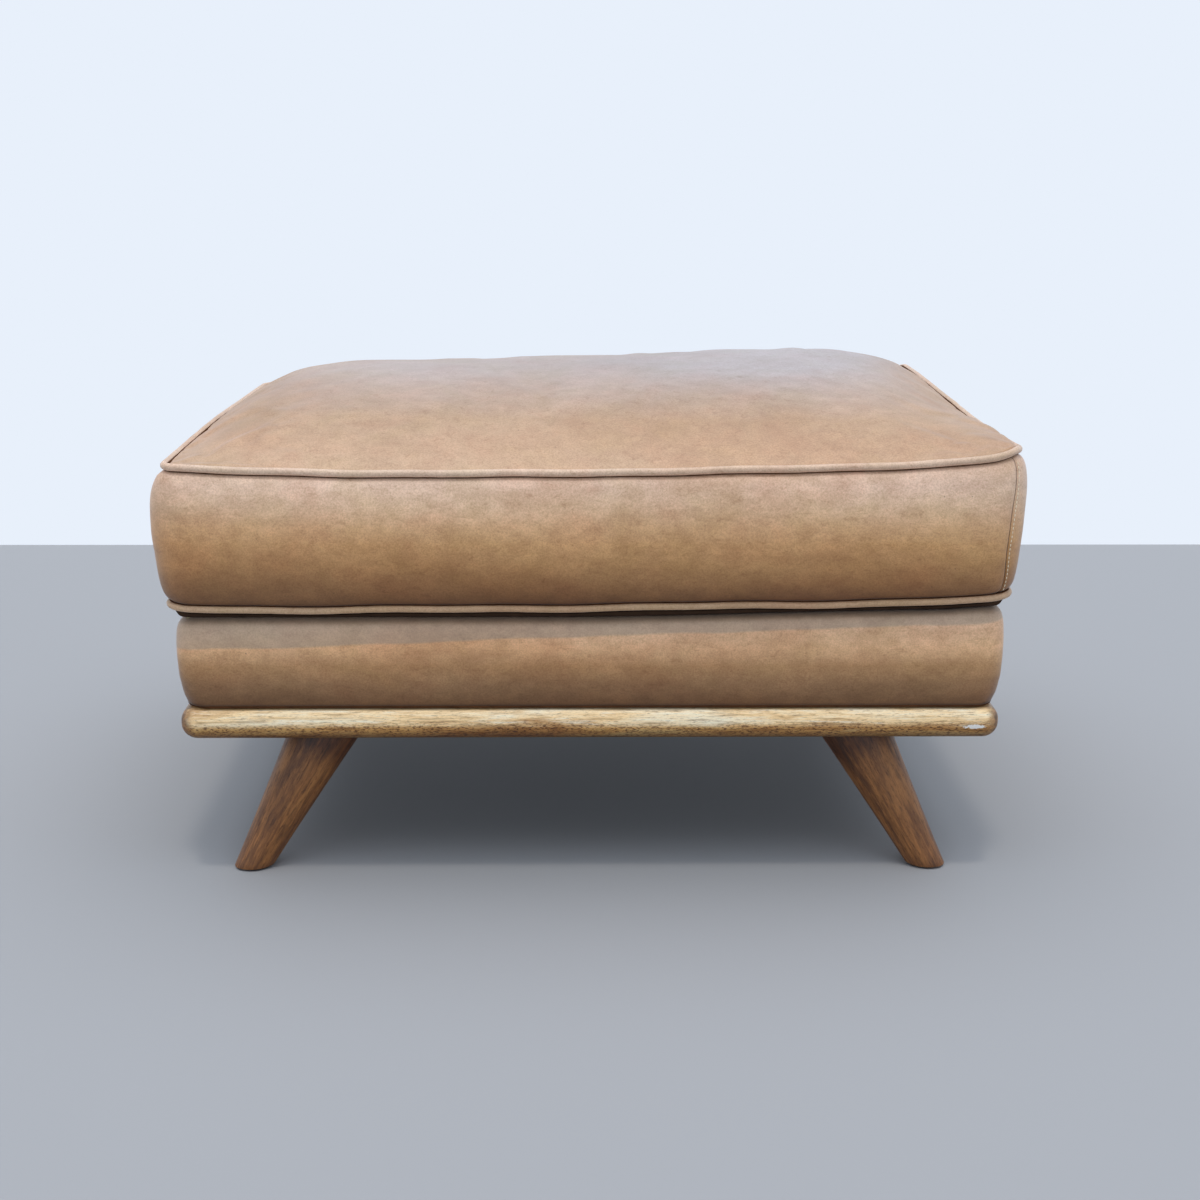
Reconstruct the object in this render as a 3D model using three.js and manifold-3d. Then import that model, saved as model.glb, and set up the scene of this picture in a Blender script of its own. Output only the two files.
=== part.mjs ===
// Leather ottoman: a splayed-leg timber plinth, an upholstered spring box and a loose box cushion.
// Millimetres, +Z up. X runs along the long side, the front faces -Y, and the origin is on the
// floor under the centre.
import * as THREE from 'three';
import { mergeVertices } from 'three/addons/utils/BufferGeometryUtils.js';
import Module from 'manifold-3d';

const wasm = await Module();
wasm.setup();

// ---------------------------------------------------------------- driving dimensions
const GAP = 0.3; // clearance between pieces that touch
const LEATHER = 3; // leather with its backing

const PLINTH = {
  halfX: 405,
  halfY: 318,
  bottom: 143,
  top: 176,
  railWidth: 50,
  nose: 14, // bullnose radius
  corner: 16,
};

const LEG = {
  foot: new THREE.Vector3(342, 285, 2), // centre of the level foot face
  head: new THREE.Vector3(264.6, 246, PLINTH.bottom - GAP), // centre of the level head face
  footRadius: 17.6,
  waistRadius: 25.6,
  headRadius: 35,
};
const GLIDE_RADIUS = 14;

const BOLT = { radius: 4, bottom: 112, top: 168 };
const INSERT = { barrelRadius: 5.5, flangeRadius: 10, bottom: 148, flange: 1.4 };
const BLOCK = { innerX: 214, innerY: 204, top: 170.7, chamfer: 36 };
const STRETCHER = { halfX: 30, bottom: 150 };

const BOX = { halfX: 380, halfY: 300, thickness: 18, bottom: PLINTH.top + GAP, top: 246 };
const SPRING = {
  count: 5,
  spacing: 122,
  radius: 1.9,
  sides: 5,
  sweep: 22, // half width of the zig-zag
  waves: 10,
  height: 234, // at the front and rear boards
  arch: 8, // rise at the middle
};

// The upholstered base, as [height, half width, half depth] from the plinth up over the roll edge.
const BASE_PROFILE = [
  [176.3, 400, 311], [190, 404, 316], [210, 406.5, 318.5], [238, 407.5, 319.5],
  [253, 406, 318], [260, 403, 315], [265, 397, 309], [268.5, 387, 299], [270, 377, 289],
];
const BASE_CORNER = 26;
const BASE_BORDER = 10; // leather turned in over the flat of the deck
const DECK = { padBottom: BOX.top + GAP, padTop: 266.7, clothTop: 269.7 };
const DUST_COVER = { halfX: 368, halfY: 284, clearX: 220, clearY: 202, thickness: 1 };

const CUSHION = {
  halfX: 407, // centre line of the piping
  halfY: 320,
  corner: 28,
  bulge: 17,
  crown: 66,
  lean: 8, // extra crown at the +X end
  rest: 270.3, // underside of the bottom panel
  pipingRadius: 4,
};
const CORE_INSET = 22;
const WRAP_INSET = 10;
const FILLING_EDGE = 90; // least depth of the filling at its rim
const ZIP = {
  height: 350,
  halfLength: 330,
  travelStart: -300,
  slot: 7, // half height of the opening in the leather
  tapeBack: 320.5,
};

// ---------------------------------------------------------------- materials
function material(colour, roughness, metalness = 0) {
  return () => new THREE.MeshStandardMaterial({ color: colour, roughness, metalness });
}
const leather = material(0xb98f6a, 0.55);
const railWood = material(0xb88a56, 0.5);
const legWood = material(0x7c5436, 0.5);
const frameWood = material(0xcdb288, 0.8);
const steel = material(0x8d9094, 0.4, 1);
const foam = material(0xe6dcb6, 0.95);
const wadding = material(0xf1eee6, 1);
const cloth = material(0x6c5a48, 0.95);
const blackCloth = material(0x1d1c1b, 0.95);
const glidePlastic = material(0x2a2624, 0.6);
const zipMetal = material(0xa08a5c, 0.35, 1);
const zipTape = material(0x7d6248, 0.9);

// ---------------------------------------------------------------- geometry helpers
const ottoman = new THREE.Group();

function add(name, geometry, makeMaterial) {
  const mesh = new THREE.Mesh(geometry, makeMaterial());
  mesh.name = name;
  ottoman.add(mesh);
  return mesh;
}

function solid(geometry) {
  const bare = geometry.index ? geometry.clone() : geometry;
  bare.deleteAttribute('normal');
  bare.deleteAttribute('uv');
  const merged = mergeVertices(bare, 1e-4);
  return new wasm.Manifold(new wasm.Mesh({
    numProp: 3,
    vertProperties: new Float32Array(merged.attributes.position.array),
    triVerts: new Uint32Array(merged.index.array),
  }));
}

function geometryOf(manifold) {
  const { vertProperties, triVerts } = manifold.getMesh();
  const geometry = new THREE.BufferGeometry();
  geometry.setAttribute('position', new THREE.BufferAttribute(vertProperties, 3));
  geometry.setIndex(new THREE.BufferAttribute(triVerts, 1));
  geometry.computeVertexNormals();
  return geometry;
}

function toPlan([x, y]) {
  return new THREE.Vector2(x, y);
}

// A box between two opposite corners.
function block([x0, y0, z0], [x1, y1, z1]) {
  const geometry = new THREE.BoxGeometry(x1 - x0, y1 - y0, z1 - z0);
  return geometry.translate((x0 + x1) / 2, (y0 + y1) / 2, (z0 + z1) / 2);
}

function upright(radius, bottom, top, x, y, sides = 12) {
  const geometry = new THREE.CylinderGeometry(radius, radius, top - bottom, sides);
  return geometry.rotateX(Math.PI / 2).translate(x, y, (bottom + top) / 2);
}

// Counter-clockwise rounded rectangle as [x, y] pairs, with the straight sides cut into steps.
function outline(halfX, halfY, radius, cornerSteps = 3, sideSteps = 4) {
  const points = [];
  const centres = [[1, 1], [-1, 1], [-1, -1], [1, -1]];
  centres.forEach(([sx, sy], quarter) => {
    const cx = sx * (halfX - radius);
    const cy = sy * (halfY - radius);
    for (let i = 0; i <= cornerSteps; i += 1) {
      const angle = (quarter + i / cornerSteps) * Math.PI / 2;
      points.push([cx + radius * Math.cos(angle), cy + radius * Math.sin(angle)]);
    }
    const [x, y] = points[points.length - 1];
    const alongX = quarter % 2 === 0;
    for (let i = 1; i < sideSteps; i += 1) {
      const k = 1 - 2 * i / sideSteps;
      points.push(alongX ? [x * k, y] : [x, y * k]);
    }
  });
  return points;
}

// Closed solid through a stack of rings of equal length, each ring a list of [x, y, z].
function loft(rings) {
  const count = rings[0].length;
  const positions = rings.flat(2);
  const index = [];
  for (let r = 0; r + 1 < rings.length; r += 1) {
    for (let i = 0; i < count; i += 1) {
      const a = r * count + i;
      const b = r * count + (i + 1) % count;
      index.push(a, b, b + count, a, b + count, a + count);
    }
  }
  const cap = (ring, start, up) => {
    const centre = [0, 1, 2].map((k) => ring.reduce((sum, p) => sum + p[k], 0) / count);
    const middle = positions.length / 3;
    positions.push(...centre);
    for (let i = 0; i < count; i += 1) {
      const a = start + i;
      const b = start + (i + 1) % count;
      index.push(...(up ? [a, b, middle] : [b, a, middle]));
    }
  };
  cap(rings[0], 0, false);
  cap(rings[rings.length - 1], (rings.length - 1) * count, true);
  const geometry = new THREE.BufferGeometry();
  geometry.setAttribute('position', new THREE.Float32BufferAttribute(positions, 3));
  geometry.setIndex(index);
  return geometry;
}

// Closed loop of round section swept along a closed list of [x, y, z].
function hoop(path, radius, sides = 6) {
  const curve = path.map((p) => new THREE.Vector3(...p));
  const rings = curve.map((centre, i) => {
    const before = curve[(i + path.length - 1) % path.length];
    const after = curve[(i + 1) % path.length];
    const tangent = after.clone().sub(before).normalize();
    const side = new THREE.Vector3(0, 0, 1).cross(tangent).normalize();
    const up = tangent.clone().cross(side);
    return Array.from({ length: sides }, (_, k) => {
      const angle = 2 * Math.PI * k / sides;
      const offset = side.clone().multiplyScalar(radius * Math.cos(angle));
      return centre.clone().add(offset).addScaledVector(up, radius * Math.sin(angle)).toArray();
    });
  });
  const index = [];
  rings.forEach((_, r) => {
    const next = (r + 1) % rings.length;
    for (let k = 0; k < sides; k += 1) {
      const l = (k + 1) % sides;
      index.push(r * sides + k, r * sides + l, next * sides + l);
      index.push(r * sides + k, next * sides + l, next * sides + k);
    }
  });
  const geometry = new THREE.BufferGeometry();
  geometry.setAttribute('position', new THREE.Float32BufferAttribute(rings.flat(2), 3));
  geometry.setIndex(index);
  return geometry;
}

// Cuts a ring-shaped solid into its front, rear, left and right runs. The front and rear runs
// keep the corners, and reach in to halfY; the side runs fill the length between them.
function fourRuns(ring, halfY) {
  const far = 1000;
  const keep = (low, high) => geometryOf(ring.intersect(solid(block(low, high))));
  return {
    front: keep([-far, -far, 0], [far, -halfY, far]),
    rear: keep([-far, halfY, 0], [far, far, far]),
    left: keep([-far, GAP - halfY, 0], [0, halfY - GAP, far]),
    right: keep([0, GAP - halfY, 0], [far, halfY - GAP, far]),
  };
}

const CORNERS = [
  ['front_left', -1, -1],
  ['front_right', 1, -1],
  ['rear_left', -1, 1],
  ['rear_right', 1, 1],
];
const SIDES = ['front', 'rear', 'left', 'right'];

// ---------------------------------------------------------------- plinth and legs
function buildPlinth() {
  const { halfX, halfY, bottom, top, nose, corner, railWidth } = PLINTH;
  const plan = new THREE.Shape(outline(halfX, halfY, corner, 3, 1).map(toPlan));
  const slab = new THREE.ExtrudeGeometry(plan, {
    depth: top - bottom - 2 * nose,
    bevelThickness: nose,
    bevelSize: nose,
    bevelOffset: -nose,
    bevelSegments: 3,
  }).translate(0, 0, bottom + nose);
  const innerX = halfX - railWidth;
  const innerY = halfY - railWidth;
  const opening = solid(block([-innerX, -innerY, 0], [innerX, innerY, top + nose]));
  const runs = fourRuns(solid(slab).subtract(opening), innerY);
  SIDES.forEach((side) => add(`${side}_rail`, runs[side], railWood));

  const reach = innerY - GAP;
  const { halfX: half, bottom: under } = STRETCHER;
  add('centre_stretcher', block([-half, -reach, under], [half, reach, top - GAP]), frameWood);
}

function legGeometry(sx, sy) {
  const mirror = new THREE.Vector3(sx, sy, 1);
  const foot = LEG.foot.clone().multiply(mirror);
  const head = LEG.head.clone().multiply(mirror);
  const length = foot.distanceTo(head);
  const spare = 0.2; // the turning runs on past both level cuts by this share of the length
  const footTaper = 2 * (LEG.waistRadius - LEG.footRadius);
  const headTaper = 2 * (LEG.headRadius - LEG.waistRadius);
  const profile = [
    [0, -spare],
    [LEG.footRadius - footTaper * spare, -spare],
    [LEG.footRadius, 0],
    [LEG.waistRadius, 0.5],
    [LEG.headRadius, 1],
    [LEG.headRadius + headTaper * spare, 1 + spare],
    [0, 1 + spare],
  ].map(([radius, share]) => new THREE.Vector2(radius, share * length));
  const axis = head.clone().sub(foot).normalize();
  const turn = new THREE.Quaternion().setFromUnitVectors(new THREE.Vector3(0, 1, 0), axis);
  const turning = new THREE.LatheGeometry(profile, 24).applyQuaternion(turn);
  turning.translate(foot.x, foot.y, foot.z);
  const far = 500;
  const slice = block([-far, -far, foot.z], [far, far, head.z]);
  const bore = upright(BOLT.radius + GAP, BOLT.bottom - GAP, head.z + 10, head.x, head.y);
  return geometryOf(solid(turning).intersect(solid(slice)).subtract(solid(bore)));
}

// Corner block with its inner corner cut off and a hole for the threaded insert.
function cornerBlock(sx, sy, x, y) {
  const outerX = PLINTH.halfX - PLINTH.railWidth - GAP;
  const outerY = PLINTH.halfY - PLINTH.railWidth - GAP;
  const { innerX, innerY, chamfer, top } = BLOCK;
  const points = [
    [outerX, outerY], [innerX, outerY], [innerX, innerY + chamfer],
    [innerX + chamfer, innerY], [outerX, innerY],
  ];
  const plan = new THREE.Shape(points.map(([px, py]) => new THREE.Vector2(sx * px, sy * py)));
  const hole = new THREE.Path().absarc(x, y, INSERT.barrelRadius + GAP, 0, 2 * Math.PI);
  plan.holes.push(hole);
  const depth = top - PLINTH.bottom;
  return new THREE.ExtrudeGeometry(plan, { depth, bevelEnabled: false, curveSegments: 10 })
    .translate(0, 0, PLINTH.bottom);
}

function insertGeometry(x, y) {
  const { barrelRadius, flangeRadius, bottom, flange } = INSERT;
  const seat = BLOCK.top + GAP;
  const bore = BOLT.radius + GAP;
  const profile = [
    [bore, bottom], [barrelRadius, bottom], [barrelRadius, seat], [flangeRadius, seat],
    [flangeRadius, seat + flange], [bore, seat + flange], [bore, bottom],
  ].map(([r, z]) => new THREE.Vector2(r, z));
  return new THREE.LatheGeometry(profile, 14).rotateX(Math.PI / 2).translate(x, y, 0);
}

function buildCorners() {
  CORNERS.forEach(([place, sx, sy]) => {
    const x = sx * LEG.head.x;
    const y = sy * LEG.head.y;
    const { x: footX, y: footY, z: footZ } = LEG.foot;
    const glide = upright(GLIDE_RADIUS, 0, footZ - GAP, sx * footX, sy * footY, 24);
    add(`leg_${place}`, legGeometry(sx, sy), legWood);
    add(`foot_glide_${place}`, glide, glidePlastic);
    add(`hanger_bolt_${place}`, upright(BOLT.radius, BOLT.bottom, BOLT.top, x, y), steel);
    add(`threaded_insert_${place}`, insertGeometry(x, y), steel);
    add(`corner_block_${place}`, cornerBlock(sx, sy, x, y), frameWood);
  });
}

// ---------------------------------------------------------------- spring box
function buildBoards() {
  const { halfX, halfY, thickness, bottom, top } = BOX;
  const ring = solid(block([-halfX, -halfY, bottom], [halfX, halfY, top]));
  const innerX = halfX - thickness;
  const innerY = halfY - thickness;
  const well = solid(block([-innerX, -innerY, 0], [innerX, innerY, top + 1]));
  const runs = fourRuns(ring.subtract(well), innerY);
  SIDES.forEach((side) => add(`${side}_board`, runs[side], frameWood));
}

// Zig-zag spring wire that arches a little between the front and rear boards.
class SpringPath extends THREE.Curve {
  constructor(x) {
    super();
    this.x = x;
    this.reach = BOX.halfY - BOX.thickness - 2 * GAP - SPRING.radius;
  }

  getPoint(t, target = new THREE.Vector3()) {
    const swing = SPRING.sweep * Math.sin(2 * Math.PI * SPRING.waves * t);
    const height = SPRING.height + SPRING.arch * Math.sin(Math.PI * t);
    return target.set(this.x + swing, this.reach * (2 * t - 1), height);
  }
}

function buildSprings() {
  const section = new THREE.Shape(Array.from({ length: SPRING.sides }, (_, k) => {
    const angle = 2 * Math.PI * k / SPRING.sides;
    return new THREE.Vector2(SPRING.radius * Math.cos(angle), SPRING.radius * Math.sin(angle));
  }));
  for (let i = 0; i < SPRING.count; i += 1) {
    const x = (i - (SPRING.count - 1) / 2) * SPRING.spacing;
    const options = { steps: SPRING.waves * 5, extrudePath: new SpringPath(x), bevelEnabled: false };
    add(`seat_spring_${i + 1}`, new THREE.ExtrudeGeometry(section, options), steel);
  }
}

// Solid of the upholstered base, shrunk by an inset on its sides and top.
function baseBody(inset, bottom) {
  const rings = BASE_PROFILE.map(([z, halfX, halfY], i) => {
    const height = i === 0 ? bottom : z - inset;
    return outline(halfX - inset, halfY - inset, BASE_CORNER - inset).map(([x, y]) => [x, y, height]);
  });
  return solid(loft(rings));
}

function buildBase() {
  const [[bottom]] = BASE_PROFILE;
  const [, topX, topY] = BASE_PROFILE[BASE_PROFILE.length - 1];
  const windowX = topX - BASE_BORDER;
  const windowY = topY - BASE_BORDER;
  const hollow = baseBody(LEATHER, bottom - LEATHER);
  const window = solid(block([-windowX, -windowY, BOX.top], [windowX, windowY, CUSHION.rest]));
  const cover = fourRuns(baseBody(0, bottom).subtract(hollow).subtract(window), windowY);
  SIDES.forEach((side) => add(`base_cover_${side}`, cover[side], leather));

  const boxX = BOX.halfX + GAP;
  const boxY = BOX.halfY + GAP;
  const core = solid(block([-boxX, -boxY, 0], [boxX, boxY, CUSHION.rest]));
  const padding = fourRuns(baseBody(LEATHER + GAP, bottom + GAP).subtract(core), boxY);
  SIDES.forEach((side) => add(`${side}_foam_strip`, padding[side], foam));

  const { padBottom, padTop, clothTop } = DECK;
  const pad = outline(topX - 2 * LEATHER, topY - 2 * LEATHER, BASE_CORNER, 4, 1);
  add('deck_pad', loft([padBottom, padTop].map((z) => pad.map(([x, y]) => [x, y, z]))), foam);
  const clothLow = [GAP - windowX, GAP - windowY, padTop + GAP];
  add('deck_cloth', block(clothLow, [windowX - GAP, windowY - GAP, clothTop]), cloth);
}

// Dust cover tacked under the rails, cut back around the four leg heads.
function buildDustCover() {
  const { halfX, halfY, clearX, clearY, thickness } = DUST_COVER;
  const points = [];
  [[1, 1], [-1, 1], [-1, -1], [1, -1]].forEach(([sx, sy], i) => {
    const notch = [[sx * halfX, sy * clearY], [sx * clearX, sy * clearY], [sx * clearX, sy * halfY]];
    points.push(...(i % 2 === 0 ? notch : notch.reverse()));
  });
  const plan = new THREE.Shape(points.map(toPlan));
  const geometry = new THREE.ExtrudeGeometry(plan, { depth: thickness, bevelEnabled: false });
  add('dust_cover', geometry.translate(0, 0, PLINTH.bottom - GAP - thickness), blackCloth);
}

// ---------------------------------------------------------------- loose cushion
// The filling has settled to one side, so both piping lines climb towards +X.
function topSeam(x) {
  const u = x / CUSHION.halfX;
  return 412 + 7 * u + 9 * u * u;
}

function bottomSeam(x) {
  const u = x / CUSHION.halfX;
  return 279.3 + 4.6 * u + 4.6 * u * u;
}

// Half depth of the rear face, pulled in along the zip and full above and below it.
function rearReach(z, low, high) {
  const w = Math.abs(z - ZIP.height) / (z > ZIP.height ? high - ZIP.height : ZIP.height - low);
  return CUSHION.halfY + 2 + 4 * (1 - w) + 10 * Math.sin(Math.PI * w);
}

// Solid of the cushion's box between its seams, shrunk by an inset on all sides. A positive
// overrun carries the end rings straight on past both seams.
function cushionBody(inset, trim, overrun = 0) {
  const levels = 8;
  const rings = [];
  for (let i = 0; i <= levels; i += 1) {
    const t = i / levels;
    const swell = CUSHION.bulge * Math.sin(Math.PI * t) ** 0.7;
    const halfX = CUSHION.halfX + swell;
    const halfY = CUSHION.halfY + swell;
    rings.push(outline(halfX, halfY, CUSHION.corner).map(([x, y]) => {
      const low = bottomSeam(x) + trim;
      const high = topSeam(x) - trim;
      const z = low + t * (high - low);
      const reach = y > 0 ? rearReach(z, low, high) / halfY : 1;
      return [x * (1 - inset / halfX), y * reach * (1 - inset / halfY), z];
    }));
  }
  if (overrun > 0) {
    const shifted = (ring, shift) => ring.map(([x, y, z]) => [x, y, z + shift]);
    rings.unshift(shifted(rings[0], -overrun));
    rings.push(shifted(rings[levels + 1], overrun));
  }
  return solid(loft(rings));
}

function buildBoxing() {
  const edge = CUSHION.pipingRadius + GAP;
  const inner = cushionBody(LEATHER, edge, 2 * edge);
  const band = fourRuns(cushionBody(0, edge).subtract(inner), CUSHION.halfY - CUSHION.corner - edge);
  ['front', 'left', 'right'].forEach((side) => add(`boxing_${side}`, band[side], leather));
  const far = 500;
  const reach = ZIP.halfLength + ZIP.slot;
  const slot = solid(block([-reach, 0, ZIP.height - ZIP.slot], [reach, far, ZIP.height + ZIP.slot]));
  const rear = solid(band.rear).subtract(slot);
  const above = solid(block([-far, 0, ZIP.height + GAP / 2], [far, far, far]));
  const below = solid(block([-far, 0, 0], [far, far, ZIP.height - GAP / 2]));
  add('boxing_rear_upper', geometryOf(rear.intersect(above)), leather);
  add('boxing_rear_lower', geometryOf(rear.intersect(below)), leather);
}

function buildPiping() {
  const { halfX, halfY, corner, pipingRadius } = CUSHION;
  const path = outline(halfX, halfY, corner, 4, 5);
  add('piping_top', hoop(path.map(([x, y]) => [x, y, topSeam(x)]), pipingRadius), leather);
  add('piping_bottom', hoop(path.map(([x, y]) => [x, y, bottomSeam(x)]), pipingRadius), leather);
}

// Domed shell whose height over the plan is given by surface(x, y), one leather thick.
function shell(surface) {
  const rim = outline(
    CUSHION.halfX - CUSHION.pipingRadius - GAP,
    CUSHION.halfY - CUSHION.pipingRadius - GAP,
    CUSHION.corner - CUSHION.pipingRadius,
  );
  const scales = [0.3, 0.58, 0.78, 0.9, 0.96, 1];
  const place = (x, y, lift) => [x, y, surface(x, y) + lift];
  const ring = (scale, lift) => rim.map(([x, y]) => place(x * scale, y * scale, lift));
  const under = scales.map((scale) => ring(scale, 0));
  const over = [...scales].reverse().map((scale) => ring(scale, LEATHER));
  return loft([...under, ...over]);
}

// The crown stays full along the length and rounds off more gently across the depth.
function crownHeight(x, y) {
  const rise = (s, power, softness) => Math.max(0, 1 - Math.abs(s) ** power) ** softness;
  const along = rise(x / CUSHION.halfX, 7, 1.1);
  const across = rise(y / CUSHION.halfY, 2.5, 1);
  return topSeam(x) + (CUSHION.crown + CUSHION.lean * x / CUSHION.halfX) * along * across;
}

// The underside lies flat on the deck and turns up to the seam near its edges.
function undersideHeight(x, y) {
  const s = Math.max(Math.abs(x) / CUSHION.halfX, Math.abs(y) / CUSHION.halfY);
  const turn = Math.max(0, (s - 0.86) / 0.14);
  return CUSHION.rest + (bottomSeam(x) - CUSHION.rest - LEATHER / 2) * turn * turn;
}

function buildPanels() {
  add('cushion_top_panel', shell((x, y) => crownHeight(x, y) - LEATHER), leather);
  add('cushion_bottom_panel', shell(undersideHeight), leather);
}

// Foam block and the wadding wrapped over its top, front, underside and back.
function fillingBody(inset) {
  const plan = outline(CUSHION.halfX - inset, CUSHION.halfY - inset, CUSHION.corner, 3, 4);
  const scales = [0.5, 0.75, 0.9, 1];
  const place = (x, y, height) => [x, y, height(x, y)];
  const ring = (scale, height) => plan.map(([x, y]) => place(x * scale, y * scale, height));
  const rise = inset - CUSHION.pipingRadius;
  const under = (x, y) => undersideHeight(x, y) + rise;
  const over = (x, y) => Math.max(crownHeight(x, y) - rise - LEATHER, under(x, y) + FILLING_EDGE);
  return solid(loft([
    ...scales.map((scale) => ring(scale, under)),
    ...[...scales].reverse().map((scale) => ring(scale, over)),
  ]));
}

function buildFilling() {
  add('foam_core', geometryOf(fillingBody(CORE_INSET)), foam);
  const far = 500;
  const reach = CUSHION.halfX - CORE_INSET;
  const passage = fillingBody(CORE_INSET - GAP);
  const span = solid(block([-reach, -far, 0], [reach, far, 2 * far]));
  add('fibre_wrap', geometryOf(fillingBody(WRAP_INSET).subtract(passage).intersect(span)), wadding);
}

// ---------------------------------------------------------------- zip
// Extrudes a [y, z] profile, given from the zip line, along X from x0 to x1.
function alongZip(profile, x0, x1) {
  const plan = new THREE.Shape(profile.map(([y, z]) => new THREE.Vector2(y, z)));
  return new THREE.ExtrudeGeometry(plan, { depth: x1 - x0, bevelEnabled: false })
    .applyMatrix4(new THREE.Matrix4().makeBasis(
      new THREE.Vector3(0, 1, 0), new THREE.Vector3(0, 0, 1), new THREE.Vector3(1, 0, 0),
    ))
    .translate(x0, ZIP.tapeBack, ZIP.height);
}

const CHAIN = { tape: 1.2, halfTape: 12, front: 3.8, half: 3 };
const SLIDER = { half: 5, halfLength: 5.5, back: 1.5, inside: 4.1, front: 5.6 };
const ARCH = { outer: 5, inner: 3.5, under: 7.8, top: 9, half: 1.5 };

function buildZip() {
  const { tape, halfTape, front, half } = CHAIN;
  const tapeProfile = [
    [0, -halfTape], [tape, -halfTape], [tape, -half], [front, -half],
    [front, half], [tape, half], [tape, halfTape], [0, halfTape],
  ];
  add('zip_tape', alongZip(tapeProfile, -ZIP.halfLength, ZIP.halfLength), zipTape);

  const clear = half + GAP;
  const { back, inside, front: face, half: side } = SLIDER;
  const channel = [
    [back, -side], [face, -side], [face, side], [back, side],
    [back, clear], [inside, clear], [inside, -clear], [back, -clear],
  ];
  const x = ZIP.travelStart;
  const y = ZIP.tapeBack;
  const z = ZIP.height;
  const body = solid(alongZip(channel, x - SLIDER.halfLength, x + SLIDER.halfLength));
  const root = y + SLIDER.front - 0.5;
  const low = z - ARCH.half;
  const high = z + ARCH.half;
  const arch = solid(block([x - ARCH.outer, root, low], [x + ARCH.outer, y + ARCH.top, high]))
    .subtract(solid(block([x - ARCH.inner, root - 1, low - 1], [x + ARCH.inner, y + ARCH.under, high + 1])));
  add('zip_slider', geometryOf(body.add(arch)), zipMetal);
  addPull(x, y, z);
}

// The pull's cross bar turns under the slider's arch; the pull lies along -X.
function addPull(x, y, z) {
  const bar = 0.7;
  const width = 4;
  const tip = -24;
  const plate = new THREE.Shape();
  plate.moveTo(bar, -width);
  plate.lineTo(bar, width);
  plate.lineTo(tip, width);
  plate.absarc(tip, 0, width, Math.PI / 2, 3 * Math.PI / 2);
  plate.lineTo(bar, -width);
  const eye = [[-bar, -2.6], [-9, -2.6], [-9, 2.6], [-bar, 2.6]];
  plate.holes.push(new THREE.Path(eye.map(([px, pz]) => new THREE.Vector2(px, pz))));
  const thickness = 1.2;
  const pull = new THREE.ExtrudeGeometry(plate, { depth: thickness, bevelEnabled: false, curveSegments: 8 })
    .rotateX(Math.PI / 2)
    .translate(x, y + (SLIDER.front + ARCH.under + thickness) / 2, z);
  add('zip_pull', pull, zipMetal);
}

buildPlinth();
buildCorners();
buildBoards();
buildSprings();
buildBase();
buildDustCover();
buildBoxing();
buildPiping();
buildPanels();
buildFilling();
buildZip();

export default ottoman;
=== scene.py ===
"""Leather ottoman: a splayed-leg timber plinth, an upholstered spring base and a loose box cushion.

Metres, +Z up, front at -Y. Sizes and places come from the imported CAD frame.
"""
import math

import bpy
import numpy as np
from mathutils import Matrix, Vector, noise


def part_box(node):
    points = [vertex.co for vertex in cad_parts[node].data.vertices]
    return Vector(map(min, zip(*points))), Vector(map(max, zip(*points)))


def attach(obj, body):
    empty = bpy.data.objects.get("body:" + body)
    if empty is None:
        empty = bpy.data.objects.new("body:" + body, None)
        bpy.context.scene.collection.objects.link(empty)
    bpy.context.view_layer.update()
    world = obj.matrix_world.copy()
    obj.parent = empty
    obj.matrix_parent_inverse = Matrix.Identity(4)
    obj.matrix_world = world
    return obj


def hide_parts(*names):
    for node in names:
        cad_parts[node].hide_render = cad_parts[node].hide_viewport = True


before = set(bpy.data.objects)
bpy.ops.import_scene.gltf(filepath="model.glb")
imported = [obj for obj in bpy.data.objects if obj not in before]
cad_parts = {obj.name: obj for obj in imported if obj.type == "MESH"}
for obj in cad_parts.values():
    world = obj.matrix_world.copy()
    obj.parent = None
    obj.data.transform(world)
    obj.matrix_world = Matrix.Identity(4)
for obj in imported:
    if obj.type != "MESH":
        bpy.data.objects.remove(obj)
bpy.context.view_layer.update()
MM = 0.001
CORNER_NAMES = ["front_left", "front_right", "rear_left", "rear_right"]
CORNER_SIGNS = [(1, 1), (-1, 1), (-1, -1), (1, -1)]  # counter-clockwise, as the stations run
SIDE_NAMES = ["front", "rear", "left", "right"]


# ---------- sizes read from the frame
def half_size(node):
    """Half the X and Y sizes of a node's box."""
    low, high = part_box(node)
    half = (high - low) / 2
    return half.x, half.y


def centre_of(node):
    """The middle of a node's box."""
    low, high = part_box(node)
    return (low + high) / 2


PIPING_X, PIPING_Y = (side - 4 * MM for side in half_size("piping_top"))
PANEL_X, PANEL_Y = PIPING_X - 1.2 * MM, PIPING_Y - 1.2 * MM
PIPING_RADIUS = 3.6 * MM
PIPING_LOW_RADIUS = 3.3 * MM
RAIL_LOW, RAIL_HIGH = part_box("front_rail")
COVER_LOW, COVER_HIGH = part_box("base_cover_front")
ZIP_LOW, ZIP_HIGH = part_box("zip_tape")
ZIP_HEIGHT = (ZIP_LOW.z + ZIP_HIGH.z) / 2
CUSHION_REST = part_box("cushion_bottom_panel")[0].z
LEATHER = 1.6 * MM


# ---------- small maths
def smooth(x):
    """Goes from 0 to 1 as x does, level at both ends."""
    x = np.clip(x, 0, 1)
    return x * x * (3 - 2 * x)


def ripple(points, scale, seed=0.0):
    """Smooth noise from about -1 to 1 at each point, with features of about the given size."""
    offset = Vector((seed * 3.1, seed * 1.7, seed * 0.9))
    return np.array([noise.noise(Vector(p) / scale + offset) for p in points])


def wave(x, length, phase):
    return np.sin(2 * math.pi * np.asarray(x) / length + phase)


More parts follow.
